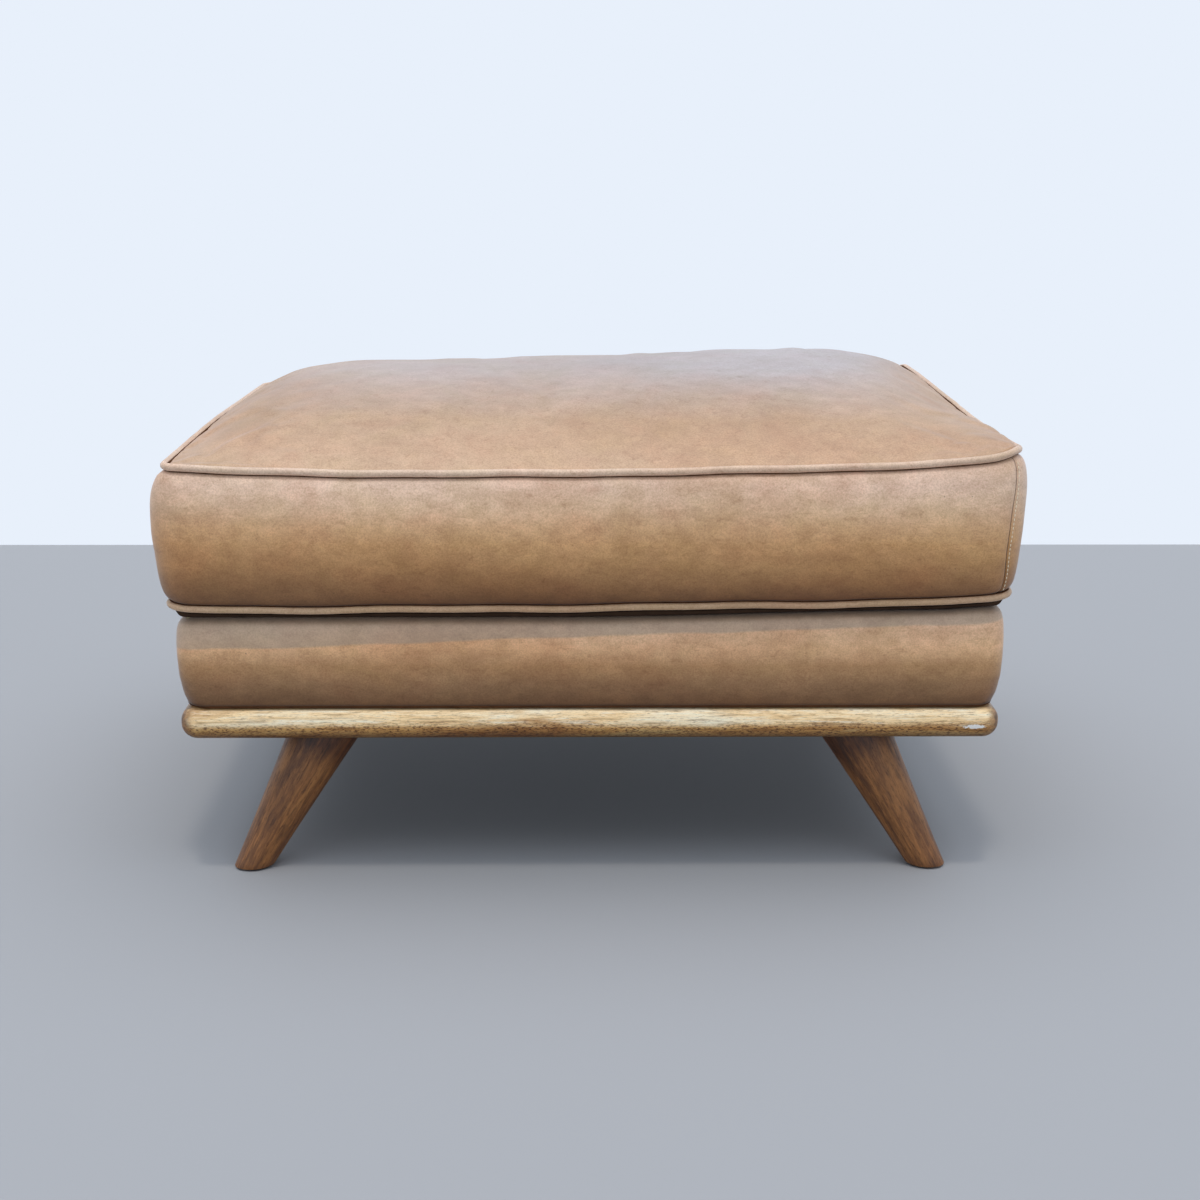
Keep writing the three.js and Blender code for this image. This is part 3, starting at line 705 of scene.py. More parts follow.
def settle(piece, rows, columns):
    """Lets the leather buckle by cloth simulation, and keeps only its small folds."""
    rim = [r * columns + c for r in range(rows) for c in range(columns)
           if r in (0, rows - 1) or c in (0, columns - 1)]
    group = piece.vertex_groups.new(name="rim")
    group.add(rim, 1.0, "REPLACE")
    cloth = modify(piece, "CLOTH")
    set_all(cloth.settings, quality=5, mass=0.6, tension_stiffness=12, bending_stiffness=1.5,
            vertex_group_mass=group.name, shrink_min=-0.012, use_pressure=True, uniform_pressure_force=1.5)
    cloth.settings.effector_weights.gravity = 0
    scene = bpy.context.scene
    for step in range(1, SIMULATED_FRAMES + 1):
        scene.frame_set(step)
    buckled = piece.evaluated_get(bpy.context.evaluated_depsgraph_get()).data
    result = vertex_grid(piece.data, rows, columns)
    rise = (vertex_grid(buckled, rows, columns) - result)[:, :, 2]
    trend = rise.copy()
    for _ in range(TREND_PASSES):
        padded = np.pad(trend, 1, mode="edge")
        trend = (padded[:-2, 1:-1] + padded[2:, 1:-1] + padded[1:-1, :-2] + padded[1:-1, 2:]) / 4
    result[:, :, 2] += np.clip(rise - trend, -DEEPEST_FOLD, DEEPEST_FOLD)
    piece.modifiers.remove(cloth)
    piece.vertex_groups.clear()
    piece.data.vertices.foreach_set("co", result.ravel())
    piece.data.update()
    scene.frame_set(1)


def panel_points(x, y, z, radii):
    """Points of one of the cushion's panels, its corners rounded."""
    return plan_points(*round_corners(x, y, PANEL_X, PANEL_Y, radii), z)


def build_top_panel():
    """The crowned top: broad unevenness, puckers beside the seam, and an edge tucked under it."""
    columns, rows = 141, 113
    x, y = panel_grid(PANEL_X, PANEL_Y, columns, rows)
    edge = edge_distance(x, y, PANEL_X, PANEL_Y)
    soft = 1.2 * plan_ripple(x, y, 0.17, 1) + 0.45 * plan_ripple(x, y, 0.06, 2)
    pucker = plan_ripple(x, y, 0.026, 3) * np.exp(-edge / 0.02) * (1 - np.exp(-edge / 0.004))
    z = crown(x, y) + (1.0 + smooth(edge / 0.06) * soft + 0.6 * pucker) * MM
    z -= TUCK * np.exp(-edge / (2.4 * MM)) + 1.2 * MM * np.exp(-(PANEL_X - np.abs(x)) / (3 * MM))
    points = panel_points(x, y, z, TOP_RADII)
    points[:, 0] = spread_top(points[:, 0], points[:, 1])
    top = new_object("cushion_top", points, grid_faces(rows, columns), LEATHER_TOP, "cushion",
                     ["cushion_top_panel"], "leather")
    settle(top, rows, columns)
    thicken(top)


def build_underside():
    """Dark suede panel that lies over the base's rolled edge and, inside that, on the deck. The suede is a
    guess, and its dark colour also paints the shade in the gap under the lower piping.
    """
    columns, rows = 81, 65
    x, y = panel_grid(PANEL_X, PANEL_Y, columns, rows)
    lap = edge_distance(x, y, COVER_HIGH.x, -COVER_LOW.y)
    rest = base_top(x, lap) + 0.9 * MM
    rest = np.maximum(rest, np.where(lap > BASE_PROFILE[-1][1] * MM, CUSHION_REST, 0))
    uneven = 0.4 * MM * (1 + plan_ripple(x, y, 0.09, 5))
    rest += uneven * smooth(edge_distance(x, y, PANEL_X, PANEL_Y) / 0.03)
    down = smooth(lap / (9 * MM) - 0.2)
    z = (low_seam(x, y) - 1.0 * MM) * (1 - down) + rest * down
    points = panel_points(x, y, z, LOW_RADII)
    points[:, 0] = spread_low(points[:, 0])
    upholster("cushion_underside", points, flipped(grid_faces(rows, columns)), SHADE_DARK_SUEDE, "cushion",
              "cushion_bottom_panel")


# ---------- cushion sides
LEVELS = 31
ZIP_SIDE_LEVELS = 19
SIDE_HEIGHT = 0.135  # near enough to turn a share of the side's height into metres
SWELL = {"front": 16 * MM, "left": 20 * MM, "right": 16 * MM}
REAR_LOBE = 10 * MM
SEAM_LEAN = (-0.214, 0.16)  # shift of the front right upright seam round its corner, by height squared


def spread_top(x, y):
    """The upper piping has been pushed out a little at the front right corner."""
    return x * (1 + TOP_SPREAD * smooth(x / 0.3) * smooth((0.1 - y) / 0.35))


def top_outline(places=STATIONS):
    xy, normal = outline(PIPING_X, PIPING_Y, TOP_RADII, places)
    xy[:, 0] = spread_top(*xy.T)
    return xy, normal


def spread_low(x):
    """The lower piping has spread a little at both ends."""
    return x * np.where(x < 0, *LOW_SPREAD)


def low_outline(places=STATIONS):
    xy, normal = outline(PIPING_X, PIPING_Y, LOW_RADII, places)
    xy[:, 0] = spread_low(xy[:, 0])
    return xy, normal


def swell_at(normal, t):
    """How far the side stands out by direction and share of height, and how far it faces the rear."""
    skew = 1.0 + 0.2 * normal[:, 0] ** 2
    arch = np.sin(math.pi * np.clip(t, 0, 1) ** skew) ** (0.66 - 0.1 * normal[:, 0] ** 2)
    left, right = np.maximum(-normal[:, 0], 0) ** 2, np.maximum(normal[:, 0], 0) ** 2
    front, rear = np.maximum(-normal[:, 1], 0) ** 2, np.maximum(normal[:, 1], 0) ** 2
    even = left * SWELL["left"] + right * SWELL["right"] + (front + rear) * SWELL["front"]
    return even * arch, rear


def side_points(places, t):
    """Points of the cushion's side at the given stations, each at its own share of the height."""
    places = places.copy()
    share = places[:, 1]
    on_corner = (places[:, 0] == 3) & (places[:, 2] == 0)
    lean = SEAM_LEAN[0] + SEAM_LEAN[1] * t * t
    places[:, 1] = share + on_corner * 4 * share * (1 - share) * lean
    top_xy, normal = top_outline(places)
    low_xy, _ = low_outline(places)
    mid_xy, _ = outline(PIPING_X, PIPING_Y, MIDDLE_RADIUS, places)
    to_top = smooth((t - 0.55) / 0.45)[:, None]
    to_low = smooth((0.4 - t) / 0.4)[:, None]
    xy = mid_xy * (1 - to_top - to_low) + top_xy * to_top + low_xy * to_low
    low = low_seam(*low_xy.T) + 3.0 * MM
    high = top_seam(*top_xy.T) - 3.5 * MM
    z = low + t * (high - low)
    even, rear = swell_at(normal, t)
    span = np.where(z > ZIP_HEIGHT, high - ZIP_HEIGHT, ZIP_HEIGHT - low)
    w = np.clip(np.abs(z - ZIP_HEIGHT) / span, 0, 1)
    lobed = 2 * MM + 4 * MM * (1 - w) + REAR_LOBE * np.sin(math.pi * w)
    xy = xy + normal * (even * (1 - rear) + lobed * rear)[:, None]
    return np.column_stack([xy, z]), normal


def side_sheet(places, low, high, rows=LEVELS):
    """Grid of points over part of the cushion's side, between two shares of its height.

    low and high are numbers or one for each station. Edges on a piping seam tuck in under it,
    and the end columns dip in to the upright seams.
    """
    low, high = np.broadcast_to(low, len(places)), np.broadcast_to(high, len(places))
    column = np.arange(len(places))
    to_end = np.minimum(column, len(places) - 1 - column)
    grid = []
    for share in 0.5 - 0.5 * np.cos(math.pi * np.linspace(0, 1, rows)):
        t = low + share * (high - low)
        points, normal = side_points(places, t)
        spare = np.minimum(t, 1 - t) * SIDE_HEIGHT
        over, under = (t - low) * SIDE_HEIGHT, (high - t) * SIDE_HEIGHT
        fold = np.minimum(np.where(low > 0, over, 1), np.where(high < 1, under, 1))
        inward = 4.5 * MM * np.exp(-spare / (2.6 * MM)) + 1.2 * MM * np.exp(-to_end / 0.8)
        inward += 1.6 * MM * np.exp(-fold / (1.5 * MM))
        uneven = 0.9 * ripple(points, 0.11, 7) + 0.35 * ripple(points, 0.035, 8)
        offset = uneven * MM * smooth(spare / 0.02) - inward
        points[:, :2] += normal * offset[:, None]
        grid.append(points)
    return np.array(grid)


# Upright seams stand near the corners; the front right one shows on the corner itself.
SEAM_REAR_RIGHT = station_at(0, 0.35)
SEAM_REAR_LEFT = station_at(1, 0.65)
SEAM_FRONT_LEFT = station_at(2, 0.0) - 1
SEAM_FRONT_RIGHT = station_at(3, 0.57)


def build_side(name, first, last, node, low=0.0, high=1.0, rows=LEVELS):
    grid = side_sheet(places_between(first, last), low, high, rows)
    faces = grid_faces(rows, grid.shape[1])
    upholster(name, grid.reshape(-1, 3), faces, LEATHER_SIDE, "cushion", node)


def build_sides():
    """Boxing: three whole sides and, at the rear, a strip above and a strip below the zip."""
    count = len(STATIONS)
    build_side("cushion_side_front", SEAM_FRONT_LEFT, SEAM_FRONT_RIGHT, "boxing_front")
    build_side("cushion_side_right", SEAM_FRONT_RIGHT, SEAM_REAR_RIGHT + count, "boxing_right")
    build_side("cushion_side_left", SEAM_REAR_LEFT, SEAM_FRONT_LEFT, "boxing_left")

    rear = (SEAM_REAR_RIGHT, SEAM_REAR_LEFT)
    xy, _ = outline(PIPING_X, PIPING_Y, MIDDLE_RADIUS, places_between(*rear))
    low = low_seam(*xy.T)
    height = top_seam(*xy.T) - low
    opening = 7 * MM * smooth((ZIP_HIGH.x - 2 * MM - np.abs(xy[:, 0])) / (12 * MM)) + 0.3 * MM
    middle = ZIP_HEIGHT - low
    build_side("cushion_side_rear_upper", *rear, "boxing_rear_upper", (middle + opening) / height, 1.0,
               ZIP_SIDE_LEVELS)
    build_side("cushion_side_rear_lower", *rear, "boxing_rear_lower", 0.0, (middle - opening) / height,
               ZIP_SIDE_LEVELS)


def seam_ring(line, height, inset, lift):
    """Closed path just beside a piping line."""
    xy, normal = line
    return raised(xy - normal * inset, height(*xy.T) + lift)


def build_piping():
    """Both pipings, with a thin dark tube of painted shade in the groove on either side of each.

    The last entry of a run has the inset, lift and radius of the two painted shadow lines, in mm.
    """
    runs = [("top", top_outline(), top_seam, PIPING_RADIUS, ((3.6, 1.0, 1.3), (1.0, -3.7, 1.1))),
            ("bottom", low_outline(), low_seam, PIPING_LOW_RADIUS, ((0.9, 3.1, 1.1), (4.4, -3.8, 2.0)))]
    for name, line, height, radius, creases in runs:
        path = seam_ring(line, height, 0, 0)
        thickness = radius + 0.25 * MM * ripple(path, 0.012, 4)
        new_object(f"cushion_piping_{name}", *tube(path, thickness, sides=16, closed=True), LEATHER_PIPING,
                   "cushion", [f"piping_{name}"], "leather")
        for place, (inset, lift, width) in zip(("over", "under"), creases):
            groove = seam_ring(line, height, inset * MM, lift * MM)
            # The line under the lower piping is the darkest: painted shade for the gap under the cushion.
            material = DEEP_CREASE_SHADOW if (name, place) == ("bottom", "under") else CREASE_SHADOW
            new_object(f"cushion_shadow_line_{name}_{place}", *tube(groove, width * MM, sides=8, closed=True),
                       material, "cushion", slot="leather")


STITCH_RADIUS = 0.45 * MM


def capsules(ends, radius, sides=6):
    """One mesh of short round-ended stitches between pairs of points."""
    vertices, faces = [], []
    for a, b in ends:
        a, b = np.array(a), np.array(b)
        along = (b - a) / 8
        path = [a, a + along, a + 4 * along, b - along, b]
        up = (0, 0, 1) if abs(along[2]) < 0.8 * np.linalg.norm(along) else (0, 1, 0)
        v, f = tube(path, np.array([0.3, 0.85, 1.0, 0.85, 0.3]) * radius, sides, up=up)
        faces += [tuple(i + len(vertices) for i in face) for face in f]
        vertices += list(v)
    return vertices, faces


def stitch_row(line, pitch, stitch, spare=0.0):
    """A stitch at each pitch along a line of points, stopping the spare length before its end."""
    length = distance_along(line)
    starts = np.arange(0, length[-1] - spare, pitch)
    ends = [np.stack([np.interp(starts + d, length, column) for column in line.T], axis=1)
            for d in (0, stitch)]
    return capsules(zip(*ends), STITCH_RADIUS)


def build_upright_stitching():
    """Rows of stitches down each upright seam, set just to the side band's side of it."""
    seams = [("front_right", SEAM_FRONT_RIGHT, 1), ("front_left", SEAM_FRONT_LEFT, -1),
             ("rear_right", SEAM_REAR_RIGHT, -1), ("rear_left", SEAM_REAR_LEFT, 1)]
    pitch = 4.2 * MM
    shares = np.linspace(0.03, 0.97, 33)
    for name, index, turn in seams:
        here = STATIONS[index:index + 1]
        line = np.array([side_points(here, np.array([t]))[0][0] for t in shares])
        (out_x, out_y), = outline(PIPING_X, PIPING_Y, MIDDLE_RADIUS, here)[1]
        tangent = np.array([-out_y, out_x, 0]) * turn
        line = line + tangent * 1.5 * MM + np.array([out_x, out_y, 0]) * 0.3 * MM
        new_object(f"seam_stitches_{name}", *stitch_row(line, pitch, pitch * 0.68, spare=pitch), THREAD,
                   "cushion", slot="leather")


def closed_pad(name, x, y, low, high, middle, rounding, material, body, node, slot):
    """Stuffed piece between a low and a high surface over one plan grid, closed round its rim.

    rounding is 1 where the piece is at its full height, and 0 where it thins out to the middle.
    """
    rows, columns = x.shape
    count = rows * columns
    vertices = np.concatenate([plan_points(x, y, middle + (z - middle) * rounding) for z in (high, low)])
    faces = grid_faces(rows, columns)
    faces += [tuple(v + count for v in face) for face in flipped(faces)]
    front = list(range(columns))
    right = [r * columns + columns - 1 for r in range(1, rows)]
    rear = [count - 1 - c for c in range(1, columns)]
    left = [r * columns for r in range(rows - 2, 0, -1)]
    rim = front + right + rear + left
    for a, b in zip(rim, rim[1:] + rim[:1]):
        faces.append((a + count, b + count, b, a))
    pad = new_object(name, vertices, faces, material, body, [node], slot)


def rounded_edge(x, y, half_x, half_y, radius):
    """From 0 at a plan rectangle's edge to 1 at the radius in from it, like a quarter circle."""
    return np.sqrt(1 - (1 - np.clip(edge_distance(x, y, half_x, half_y) / radius, 0, 1)) ** 2)


def build_filling(name, node, material, slot, grow, radius, below, floor, lumps):
    """A layer of stuffing that follows the crown from below, down to a flat floor.

    grow is how far it goes past the piping line, and radius rounds its edges.
    """
    half_x, half_y = PIPING_X + grow, PIPING_Y + grow
    x, y = panel_grid(half_x, half_y, 81, 65)
    rounding = rounded_edge(x, y, half_x, half_y, radius)
    high = crown(x * 0.97, y * 0.97) - below + lumps * plan_ripple(x, y, 0.05, 9)
    middle = (floor + ZIP_HEIGHT) / 2 + 12 * MM
    px, py = round_corners(x, y, half_x, half_y, np.full(4, 40 * MM))
    closed_pad(name, px, py, floor, high, middle, rounding, material, "cushion", node, slot)


def tooth_row(start, stop, pitch, height, side):
    """Small tapered teeth along X that point up (side 1) or down (side -1) from a zip's edge."""
    vertices, faces = [], []
    for x in np.arange(start, stop, pitch):
        first = len(vertices)
        for z, half in ((-1.4 * MM, 0.32 * MM), (1.8 * MM, 0.52 * MM)):
            for dx, dy in ((-half, 0), (half, 0), (half, 2.4 * MM), (-half, 2.4 * MM)):
                vertices.append((x + dx, ZIP_LOW.y + 1.2 * MM + dy, height + z * side))
        a, b = (first, first + 4) if side > 0 else (first + 4, first)
        faces += [(a + i, a + (i + 1) % 4, b + (i + 1) % 4, b + i) for i in range(4)]
        faces += [(a + 3, a + 2, a + 1, a), (b, b + 1, b + 2, b + 3)]
    return vertices, faces


def build_zip():
    """Two woven tapes whose metal teeth meet at the middle of the rear opening."""
    rows, columns = 7, 133
    pitch = 2.4 * MM
    for name, side in (("upper", 1), ("lower", -1)):
        x, z = np.meshgrid(np.linspace(ZIP_LOW.x, ZIP_HIGH.x, columns), np.linspace(0.5 * MM, 12 * MM, rows))
        y = ZIP_LOW.y + 1.0 * MM + 0.15 * MM * wave(x, 0.09, 1 + side)
        faces = [face[::-side] for face in grid_faces(rows, columns)]
        tape = new_object(f"zip_tape_{name}", plan_points(x, y, ZIP_HEIGHT + side * z), faces, ZIP_TAPE,
                          "cushion", ["zip_tape"], "zip_tape")
        thicken(tape, 0.7 * MM)
        first = ZIP_LOW.x + 4 * MM + (pitch / 2 if side > 0 else 0)
        row = tooth_row(first, ZIP_HIGH.x - 4 * MM, pitch, ZIP_HEIGHT, -side)
        teeth = new_object(f"zip_teeth_{name}", *row, ZIP_METAL, "cushion", slot="zip_metal")
        modify(teeth, "BEVEL", width=0.12 * MM, segments=1)


build_top_panel()
build_underside()
build_sides()
build_piping()
build_upright_stitching()
build_filling("fibre_filling", "fibre_wrap", WADDING, "wadding", grow=3 * MM, radius=48 * MM, below=7 * MM,
              floor=CUSHION_REST + 3 * MM, lumps=1.4 * MM)
build_filling("foam_block", "foam_core", FOAM, "foam", grow=-22 * MM, radius=16 * MM, below=22 * MM,
              floor=CUSHION_REST + 18 * MM, lumps=0.3 * MM)
build_zip()


# ---------- base
def base_line(rows):
    """Heights, insets and lift shares at even steps up the base's side and over its edge."""
    level, inset = base_profile()
    length = distance_along(np.column_stack([level, inset]))
    at = np.linspace(0, length[-1], rows)
    return [np.interp(at, length, column) for column in (level, inset, LIFT_SHARES)]


def cover_outline(inset, radius, places=STATIONS):
    """The base's plan outline, at a distance in from its widest line."""
    return outline(COVER_HIGH.x - inset, -COVER_LOW.y - inset, radius, places)


def build_base_side(name, first, last, node):
    """One face of the base's leather, from under its edge above the plinth to its border on top."""
    places = places_between(first, last)
    rows = 37
    grid = []
    for level, inset, share in zip(*base_line(rows)):
        xy, normal = cover_outline(inset, 24 * MM, places)
        points = raised(xy, level + share * base_lift(xy[:, 0]))
        uneven = 0.8 * MM * ripple(points, 0.13, 11) * smooth((level - RAIL_HIGH.z) / 0.02)
        points[:, :2] += normal * uneven[:, None]
        grid.append(points)
    upholster(name, np.concatenate(grid), grid_faces(rows, len(places)), LEATHER_BASE, "base", node)


def build_base():
    count = len(STATIONS)
    front_left, front_right = station_at(2, 0.0), station_at(3, 1.0)
    rear_right, rear_left = station_at(0, 0.0), station_at(1, 1.0)
    build_base_side("base_side_front", front_left, front_right, "base_cover_front")
    build_base_side("base_side_right", front_right, rear_right + count, "base_cover_right")
    build_base_side("base_side_rear", rear_right, rear_left, "base_cover_rear")
    build_base_side("base_side_left", rear_left, front_left, "base_cover_left")


def build_base_recess_shadow():
    """Thin dark tube of painted shade in the recess where the leather turns under above the plinth."""
    level, inset = base_profile()
    xy, _ = cover_outline(inset[0] + 0.6 * MM, 25 * MM)
    path = raised(xy, level[0] + 0.6 * MM)
    new_object("base_recess_shadow", *tube(path, 1.4 * MM, sides=8, closed=True), CREASE_SHADOW, "base", slot="leather")


def build_foam_strips():
    """Foam strips between the side boards and the leather, one along each side.

    A run has its first and last stations, the axis it faces, and which corner of its box is inside.
    """
    level, inset, _ = base_line(25)
    keep = (level > RAIL_HIGH.z + 0.8 * MM) & (inset < 12 * MM)
    level, inset = level[keep], inset[keep] + LEATHER + 0.8 * MM
    runs = [("front", station_at(2, 0.36), station_at(3, 0.64), 1, 1),
            ("rear", station_at(0, 0.36), station_at(1, 0.64), 1, 0),
            ("right", station_at(3, 1.0), station_at(0, 0.0) + len(STATIONS), 0, 0),
            ("left", station_at(1, 1.0), station_at(2, 0.0), 0, 1)]
    for side, first, last, axis, inner in runs:
        node = f"{side}_foam_strip"
        places = places_between(first, last)
        columns = [raised(cover_outline(shrink, 22 * MM, places)[0], z) for z, shrink in zip(level, inset)]
        back = columns[0][:, :2].copy()
        back[:, axis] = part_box(node)[inner][axis]
        columns += [raised(back, level[-1]), raised(back, level[0])]
        vertices, faces = loft(list(np.stack(columns, axis=1)))
        strip = new_object(f"foam_{side}", vertices, flipped(faces), FOAM, "base", [node], "foam")
        strip.data.set_sharp_from_angle(angle=math.radians(40))


def build_deck():
    """Pad and stretched cloth inside the leather border, and the border's stitched edge."""
    low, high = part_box("deck_pad")
    half_x, half_y = half_size("deck_pad")
    x, y = panel_grid(half_x, half_y, 61, 49)
    rounding = rounded_edge(x, y, half_x, half_y, 7 * MM)
    closed_pad("deck_wadding", x, y, low.z, high.z, (low.z + high.z) / 2, rounding, FOAM, "base",
               "deck_pad", "foam")

    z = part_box("deck_cloth")[0].z + 1.2 * MM + 0.25 * MM * plan_ripple(x, y, 0.12, 6)
    cloth = new_object("deck_cover", plan_points(x, y, z), grid_faces(*x.shape), DECK_CLOTH, "base",
                       ["deck_cloth"], "deck_cloth")
    thicken(cloth, 0.8 * MM)

    inset = BASE_PROFILE[-1][1] * MM - 4 * MM
    xy, _ = cover_outline(inset, 6 * MM)
    rim = raised(xy, base_top(xy[:, 0], inset) + 0.15 * MM)
    new_object("deck_stitches", *stitch_row(rim, 6 * MM, 4 * MM), THREAD, "base", slot="leather")


build_base()
build_base_recess_shadow()
build_foam_strips()
build_deck()


# ---------- plinth
def slab():
    """The plinth's outer shape: a rounded rectangle with a full bullnose edge."""
    nose = 15 * MM
    corner = 17 * MM
    quarter = np.linspace(0, math.pi / 2, 9)
    lower = [(nose * (1 - math.sin(a)), RAIL_LOW.z + nose * (1 - math.cos(a))) for a in quarter]
    upper = [(nose * (1 - math.cos(a)), RAIL_HIGH.z - nose * (1 - math.sin(a))) for a in quarter]
    rings = []
    for inset, height in lower + upper:
        xy, _ = outline(RAIL_HIGH.x - inset, -RAIL_LOW.y - inset, max(corner - inset, 1 * MM))
        rings.append(raised(xy, height))
    return loft(rings)


def cutter_box(low, high):
    corners = [(x, y, z) for z in (low[2], high[2]) for y in (low[1], high[1]) for x in (low[0], high[0])]
    faces = [(0, 2, 3, 1), (4, 5, 7, 6), (0, 1, 5, 4), (2, 6, 7, 3), (0, 4, 6, 2), (1, 3, 7, 5)]
    mesh = bpy.data.meshes.new("cutter")
    mesh.from_pydata(corners, [], faces)
    made = bpy.data.objects.new("cutter", mesh)
    bpy.context.scene.collection.objects.link(made)
    return made


def build_rail(side):
    """Keeps the slab inside the CAD rail's box, which is opened on the rail's outer faces."""
    far = 1.0
    along_x = side in ("front", "rear")
    low, high = (list(corner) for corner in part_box(f"{side}_rail"))
    low[2], high[2] = 0.0, far
    if along_x:
        low[0], high[0] = -far, far
    outer, value = (low, -far) if side in ("front", "left") else (high, far)
    outer[1 if along_x else 0] = value
    rail = new_object(f"plinth_{side}", *slab(), RAIL_WOOD if along_x else SIDE_RAIL_WOOD, "base",
                      [f"{side}_rail"], "rail_wood")
    cutter = cutter_box(low, high)
    modify(rail, "BOOLEAN", operation="INTERSECT", object=cutter, solver="EXACT")
    modify(rail, "BEVEL", width=0.5 * MM, segments=2, limit_method="ANGLE", angle_limit=math.radians(50))
    apply_modifiers(rail)
    bpy.data.objects.remove(cutter)
    modify(rail, "WEIGHTED_NORMAL", keep_sharp=False)
    if not along_x:
        turn = Matrix.Rotation(math.pi / 2, 4, "Z")
        rail.data.transform(turn.inverted())
        rail.matrix_world = turn


for side_name in SIDE_NAMES:
    build_rail(side_name)


# ---------- legs
LEG_PROFILE = [(0.0, 17.4), (0.25, 21.2), (0.5, 25.5), (0.75, 30.0), (0.9, 32.9), (1.0, 35.2)]  # share, mm


def build_leg(place):
    """Turned leg, trimmed level at both ends, with its grain along it."""
    low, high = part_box(f"leg_{place}")
    foot = Vector((*centre_of(f"foot_glide_{place}").xy, low.z))
    head = Vector((*centre_of(f"hanger_bolt_{place}").xy, high.z))
    axis = (head - foot).normalized()
    turn = axis.to_track_quat("Z", "X").to_matrix()
    share, radius = (np.array(column) for column in zip(*LEG_PROFILE))
    rise = high.z - low.z
    edge = 0.8 * MM
    levels = [(0, edge), (edge * 0.3, edge * 0.3), (edge, 0)]
    levels += [(z, 0) for z in np.linspace(6 * MM, rise, 18)]
    angles = np.arange(72) * 2 * math.pi / 72
    spokes = [turn.col[0] * math.cos(a) + turn.col[1] * math.sin(a) for a in angles]
    rings = []
    for z, shrink in levels:
        centre = foot + axis * (z / axis.z)
        r = np.interp(z / rise, share, radius) * MM - shrink
        rings.append(np.array([centre + (s - axis * (s.z / axis.z)) * r for s in spokes]))
    # The top of each leg is painted darker as shade under the plinth.
    wood = wood_material(f"leg_wood_{place}", *LEG_TONES, along="z", gloss=0.46, fleck=1.1, coat=0.1,
                         under=rise / axis.z - 48 * MM, local=Matrix.Translation(foot) @ turn.to_4x4())
    leg = new_object(f"turned_leg_{place}", *loft(rings), wood, "base", [f"leg_{place}"], "leg_wood")
    leg.data.set_sharp_from_angle(angle=math.radians(35))


for corner_name in CORNER_NAMES:
    build_leg(corner_name)


STAPLE_PITCH = 45 * MM


def build_dust_cover():
    """Thin black cloth stapled under the plinth, cut out round the legs."""
    low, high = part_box("dust_cover")
    size = high - low
    x, y = np.meshgrid(np.linspace(low.x, high.x, 47), np.linspace(low.y, high.y, 37))
    z = high.z - 0.5 * MM * (1 + plan_ripple(x, y, 0.15, 12))
    points = plan_points(x, y, np.minimum(z, high.z - 0.1 * MM))
    cover = new_object("dust_cloth", points, flipped(grid_faces(*x.shape)), DUST_CLOTH, "base",
                       ["dust_cover"], "dust_cloth")
    modify(cover, "SOLIDIFY", thickness=0.4 * MM, offset=-1)
    hole = 39.5 * MM
    ring = np.arange(48) * 2 * math.pi / 48
    cutters = []
    for place in CORNER_NAMES:
        centre = centre_of(f"hanger_bolt_{place}")
        circle = np.column_stack([centre.x + hole * np.cos(ring), centre.y + hole * np.sin(ring)])
        drum = loft([raised(circle, z) for z in (low.z - 10 * MM, high.z + 10 * MM)])
        cutter = new_object("cutter", *drum, DUST_CLOTH, None)
        modify(cover, "BOOLEAN", operation="DIFFERENCE", object=cutter, solver="EXACT")
        cutters.append(cutter)
    apply_modifiers(cover)
    for cutter in cutters:
        bpy.data.objects.remove(cutter)
    half_x, half_y = size.x / 2 - 6 * MM, size.y / 2 - 6 * MM
    staples = []
    for x in np.arange(-half_x + 0.05, half_x - 0.04, STAPLE_PITCH):
        staples += [((x, s * half_y, low.z), (x + 10 * MM, s * half_y, low.z)) for s in (-1, 1)]
    for y in np.arange(-half_y + 0.05, half_y - 0.04, STAPLE_PITCH):
        staples += [((s * half_x, y, low.z), (s * half_x, y + 10 * MM, low.z)) for s in (-1, 1)]
    new_object("dust_cover_staples", *capsules(staples, 0.5 * MM), STEEL, "base", slot="steel")


build_dust_cover()


# ---------- CAD nodes that stay
def paint(material, *names):
    for name in names:
        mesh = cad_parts[name].data
        mesh.materials.clear()
        mesh.materials.append(material)


paint(GLIDE, *[f"foot_glide_{c}" for c in CORNER_NAMES])
paint(STEEL, *[f"{part}_{c}" for part in ("hanger_bolt", "threaded_insert") for c in CORNER_NAMES])
paint(STEEL, *[f"seat_spring_{i}" for i in range(1, 6)])
paint(FRAME_WOOD, *[f"corner_block_{c}" for c in CORNER_NAMES], *[f"{s}_board" for s in SIDE_NAMES],
      "centre_stretcher")
paint(ZIP_METAL, "zip_slider", "zip_pull")


# ---------- stage, light and camera
WALL = colour(232, 240, 251)
FLOOR = colour(160, 161, 164)
FLOOR_LOW, FLOOR_HIGH = (-3.2, -3.4), (3.2, 1.23)
SKY = [(0.0, 1.0), (0.34, 1.0), (0.46, 0.42), (0.66, 0.42), (0.80, 1.9), (1.0, 2.3)]  # by height, of WALL
SUN_LIFT, SUN_SWING = 78, -4
CAMERA_PLACE = (-0.026, -2.071, 0.728)
CAMERA_ANGLES = (14.13, 1.106, -0.218)  # pitch down, yaw and roll, in degrees
LENS = 56.05


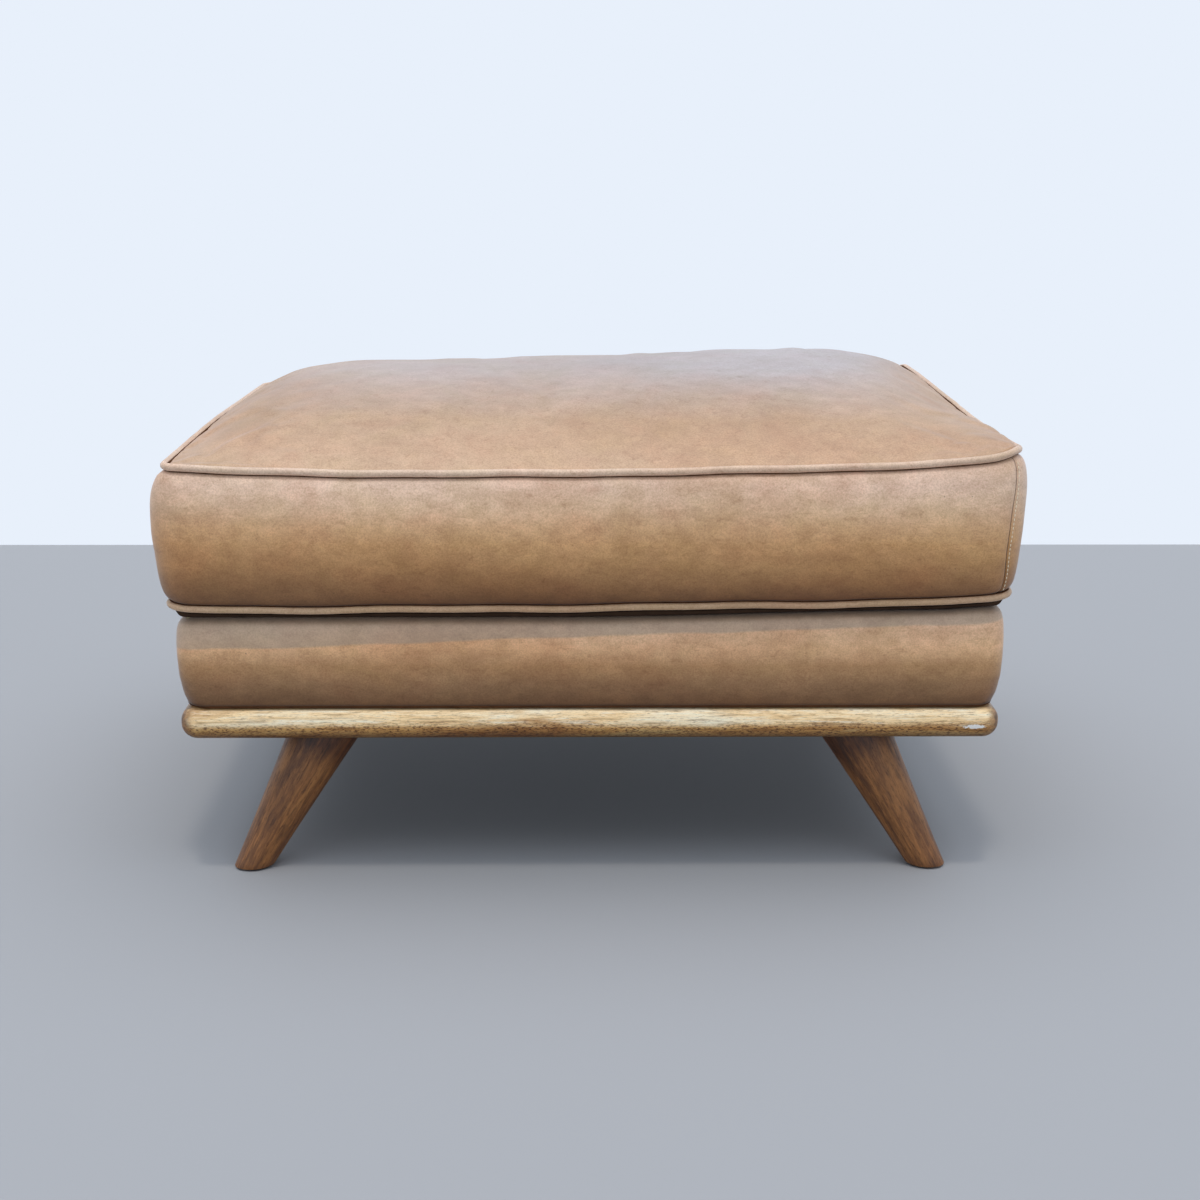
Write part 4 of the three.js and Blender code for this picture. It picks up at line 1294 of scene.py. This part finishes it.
def build_floor():
    material = Nodes("studio_floor").finish(Base_Color=FLOOR, Roughness=0.75)
    (left, front), (right, rear) = FLOOR_LOW, FLOOR_HIGH
    corners = [(left, front, 0), (right, front, 0), (right, rear, 0), (left, rear, 0)]
    floor = new_object("studio_floor", corners, [(0, 1, 2, 3)], material, None)


def build_light():
    """A big soft light overhead, dimmer sides, the pale wall round the horizon and a weak sun."""
    scene = bpy.context.scene
    world = bpy.data.worlds.new("studio")
    scene.world = world
    world.use_nodes = True
    tree = world.node_tree
    where = tree.nodes.new("ShaderNodeTexCoord")
    split = tree.nodes.new("ShaderNodeSeparateXYZ")
    ramp = tree.nodes.new("ShaderNodeValToRGB")
    tree.links.new(where.outputs["Generated"], split.inputs["Vector"])
    tree.links.new(split.outputs["Z"], ramp.inputs["Fac"])
    tree.links.new(ramp.outputs["Color"], tree.nodes["Background"].inputs["Color"])
    shades = [(height, tuple(channel * level for channel in WALL)) for height, level in SKY]
    set_stops(ramp.color_ramp, shades)
    sun = bpy.data.lights.new("key", "SUN")
    set_all(sun, energy=0.55, angle=math.radians(5), color=(1.0, 0.92, 0.80))
    lamp = bpy.data.objects.new("key", sun)
    scene.collection.objects.link(lamp)
    lift, swing = math.radians(SUN_LIFT), math.radians(SUN_SWING)
    toward = Vector((math.sin(swing) * math.cos(lift), -math.cos(swing) * math.cos(lift), math.sin(lift)))
    lamp.rotation_euler = toward.to_track_quat("Z", "Y").to_euler()
    scene.view_settings.view_transform = "Standard"


def build_camera():
    scene = bpy.context.scene
    data = bpy.data.cameras.new("camera")
    set_all(data, sensor_width=36, lens=LENS)
    camera = bpy.data.objects.new("camera", data)
    scene.collection.objects.link(camera)
    pitch, yaw, roll = (math.radians(angle) for angle in CAMERA_ANGLES)
    ahead = Vector((math.sin(yaw) * math.cos(pitch), math.cos(yaw) * math.cos(pitch), -math.sin(pitch)))
    level = Vector((math.cos(yaw), -math.sin(yaw), 0))
    down = ahead.cross(level)
    right = math.cos(roll) * level + math.sin(roll) * down
    below = -math.sin(roll) * level + math.cos(roll) * down
    turn = Matrix((right, -below, -ahead)).transposed().to_4x4()
    camera.matrix_world = Matrix.Translation(CAMERA_PLACE) @ turn
    scene.camera = camera


build_floor()
build_light()
build_camera()
